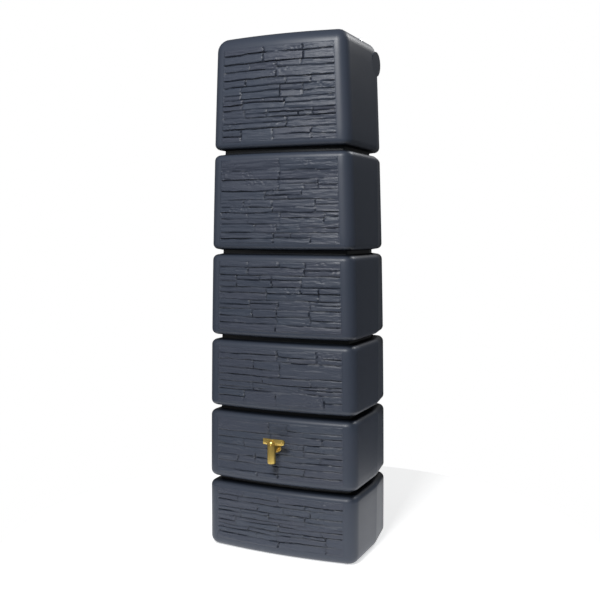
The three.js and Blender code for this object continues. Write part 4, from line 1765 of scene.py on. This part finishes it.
@dataclass
class Brackets:
    """The two bent steel brackets with their inserts, washers and screws."""

    body: str = "tank"
    sheet: float = 3 * MM
    bend: float = 2.5 * MM
    bolt: float = 4 * MM
    hole: float = 4.3 * MM
    slot_width: float = 8 * MM
    slot_length: float = 16 * MM
    pitch: float = 1.25 * MM
    cut: float = 0.6 * MM
    across: float = 13 * MM

    def make(self) -> None:
        """Builds both sides."""
        for side in ("left", "right"):
            centre = middle(f"bracket_washer_{side}")
            axis = Vector((centre.x, centre.y, 0))
            self._bracket(side, axis)
            node = f"bracket_insert_{side}"
            low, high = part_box(node)
            knurl = ribbed(24, 0.4 * MM, 7.5 * MM)
            how = {"segments": 96, "shape": knurl}
            insert = tube(f"screw_sleeve_{side}", self.hole, 8 * MM, low.z, high.z, axis, **how)
            dress(insert, Finish.INSERT, self.body, [node])
            node = f"bracket_washer_{side}"
            low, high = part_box(node)
            washer = tube(f"washer_{side}", self.hole, 9 * MM, low.z, high.z, axis)
            dress(washer, Finish.ZINC, self.body, [node])
            self._screw(side, axis)

    def _bracket(self, side: str, axis: Vector) -> None:
        """Builds one bracket, bent from sheet, with a screw hole and an upright slot."""
        node = f"wall_bracket_{side}"
        low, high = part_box(node)
        sheet, bend = self.sheet, self.bend
        outer = bend + sheet
        corner_y, corner_z = high.y - outer, low.z + outer
        arc = [math.pi / 2 * k / 8 for k in range(9)]
        outline = [(low.y, low.z)]
        outline += [(corner_y + outer * math.sin(a), corner_z - outer * math.cos(a)) for a in arc]
        outline += [(high.y, high.z), (high.y - sheet, high.z)]
        outline += [(corner_y + bend * math.sin(a), corner_z - bend * math.cos(a)) for a in reversed(arc)]
        outline.append((low.y, low.z + sheet))
        plate = extruded(f"bracket_{side}", outline, low.x, high.x, Along.RIGHT)
        self._round_corners(plate, 5 * MM)
        slot_z = high.z - self.slot_length
        reach = slot_outline(self.slot_length, self.slot_width, (slot_z, axis.x))
        slot = [(v, u) for u, v in reach]
        hole = [(0, low.z - MM), (self.hole, low.z - MM), (self.hole, low.z + 5 * MM), (0, low.z + 5 * MM)]
        cuts = [
            extruded("slot", slot, high.y - 2 * outer, high.y + MM, Along.BACK),
            turned("hole", hole, axis, segments=48),
        ]
        combine(plate, Cut.REMOVE, cuts)
        dress(plate, Finish.ZINC, self.body, [node])

    def _round_corners(self, plate: bpy.types.Object, radius: float) -> None:
        """Rounds the four free corners of a bent plate, and softens its other edges."""
        work = bmesh.new()
        work.from_mesh(plate.data)
        short = [
            e
            for e in work.edges
            if abs(e.calc_length() - self.sheet) < 0.1 * MM and e.calc_face_angle(0) > math.radians(80)
        ]
        bmesh.ops.bevel(work, geom=short, offset=radius, segments=6, profile=0.5, affect="EDGES")
        sharp = [e for e in work.edges if e.calc_face_angle(0) > math.radians(60)]
        bmesh.ops.bevel(work, geom=sharp, offset=0.35 * MM, segments=2, profile=0.5, affect="EDGES")
        work.to_mesh(plate.data)
        work.free()

    def _screw(self, side: str, axis: Vector) -> None:
        """Builds one hexagon screw."""
        node = f"bracket_screw_{side}"
        low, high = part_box(node)
        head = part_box(f"bracket_washer_{side}")[1].z + 0.3 * MM
        corner = self.across / math.sqrt(3)
        thread_high = head - 2 * MM
        profile = [
            (0, low.z),
            (self.bolt - self.cut, low.z),
            *threaded_bar(self.bolt, low.z + 0.6 * MM, thread_high, self.pitch),
            (self.bolt, thread_high + 0.2 * MM),
            (self.bolt, head),
            (corner, head),
            (corner, high.z - 0.8 * MM),
            (corner - 1.2 * MM, high.z),
            (0, high.z),
        ]
        flats = hexagonal(self.across)
        winding = threaded(self.pitch, self.cut, low.z, thread_high)

        def shape(angle: float, radius: float, height: float) -> float:
            """Flats on the head, with its corners at the front and rear, and a thread."""
            if height >= head and radius > self.bolt + MM:
                return flats(angle + math.pi / 6, radius, height)
            return winding(angle, radius, height)

        screw = turned(f"hex_screw_{side}", profile, axis, segments=72, shape=shape)
        dress(screw, Finish.STEEL, self.body, [node])


# ---- the studio ------------------------------------------------------------------------


@dataclass(frozen=True)
class SoftBox:
    """A rectangular studio light, aimed at a point on the barrel."""

    name: str
    azimuth: float
    distance: float
    height: float
    size: tuple[float, float]
    power: float
    aim: tuple[float, float, float] = (0, 0, 0.95)
    spread: float = 180
    colour: Colour = (1, 1, 1)

    def make(self) -> None:
        """Hangs the light; its azimuth is 0 in front of the barrel and 90 on its right."""
        lamp = bpy.data.lights.new(self.name, "AREA")
        lamp.shape = "RECTANGLE"
        lamp.size, lamp.size_y = self.size
        lamp.energy = self.power
        lamp.color = self.colour
        lamp.spread = math.radians(self.spread)
        holder = bpy.data.objects.new(self.name, lamp)
        turn = math.radians(self.azimuth)
        at = Vector((math.sin(turn), -math.cos(turn), 0)) * self.distance
        at.z = self.height
        holder.location = at
        holder.rotation_euler = (Vector(self.aim) - at).to_track_quat("-Z", "Y").to_euler()
        holder.visible_camera = False
        bpy.context.scene.collection.objects.link(holder)


@dataclass
class Studio:
    """A white room: a pale floor, soft boxes, the world and the camera."""

    floor_radius: float = 1.1
    backdrop: float = 1.0
    ambient: float = 0.1
    azimuth: float = 24.17
    distance: float = 3.209
    eye: float = 1.1488
    tilt: float = 85.5
    lens: float = 52.8
    lights: tuple[SoftBox, ...] = (
        SoftBox("key", 4, 3.2, 3.2, (1.0, 1.0), 134),
        SoftBox("fill", -50, 3.4, 1.5, (1.2, 2.2), 5),
        SoftBox("rim", 150, 2.6, 3.4, (0.9, 0.9), 36),
    )

    def make(self) -> None:
        """Sets up the room."""
        bpy.ops.mesh.primitive_circle_add(vertices=96, radius=self.floor_radius, fill_type="NGON")
        floor = bpy.context.object
        floor.name = "studio_floor"
        floor.data.materials.append(StudioFloor().make())
        floor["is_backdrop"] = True
        for light in self.lights:
            light.make()
        self._world()
        self._camera()
        scene = bpy.context.scene
        scene.view_settings.view_transform = "Standard"
        scene.view_settings.look = "None"

    def _world(self) -> None:
        """A world that is white to the camera and a dim grey as light."""
        world = bpy.data.worlds.new("studio")
        bpy.context.scene.world = world
        world.use_nodes = True
        tree = world.node_tree
        tree.nodes.clear()
        path = tree.nodes.new("ShaderNodeLightPath")
        seen, lit = tree.nodes.new("ShaderNodeBackground"), tree.nodes.new("ShaderNodeBackground")
        seen.inputs["Strength"].default_value = self.backdrop
        seen.inputs["Color"].default_value = (1, 1, 1, 1)
        lit.inputs["Strength"].default_value = self.ambient
        lit.inputs["Color"].default_value = (0.95, 0.98, 1, 1)
        mix = tree.nodes.new("ShaderNodeMixShader")
        output = tree.nodes.new("ShaderNodeOutputWorld")
        tree.links.new(path.outputs["Is Camera Ray"], mix.inputs[0])
        tree.links.new(lit.outputs[0], mix.inputs[1])
        tree.links.new(seen.outputs[0], mix.inputs[2])
        tree.links.new(mix.outputs[0], output.inputs["Surface"])

    def _camera(self) -> None:
        """Puts the camera where the barrel was seen from."""
        camera = bpy.data.cameras.new("camera")
        camera.lens = self.lens
        holder = bpy.data.objects.new("camera", camera)
        turn = math.radians(self.azimuth)
        holder.location = (self.distance * math.sin(turn), -self.distance * math.cos(turn), self.eye)
        holder.rotation_euler = (math.radians(self.tilt), 0, turn)
        bpy.context.scene.collection.objects.link(holder)
        bpy.context.scene.camera = holder


def main() -> None:
    """Builds everything in order."""
    logging.basicConfig(level=logging.INFO, format="%(name)s: %(message)s")
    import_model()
    for part in (Tank(), Lid(), Tap(), Drain(), Brackets(), Studio()):
        part.make()
    made = [list(corner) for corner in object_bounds()]
    LOG.info("from %s to %s", made[0], made[1])


if __name__ == "__main__":
    main()
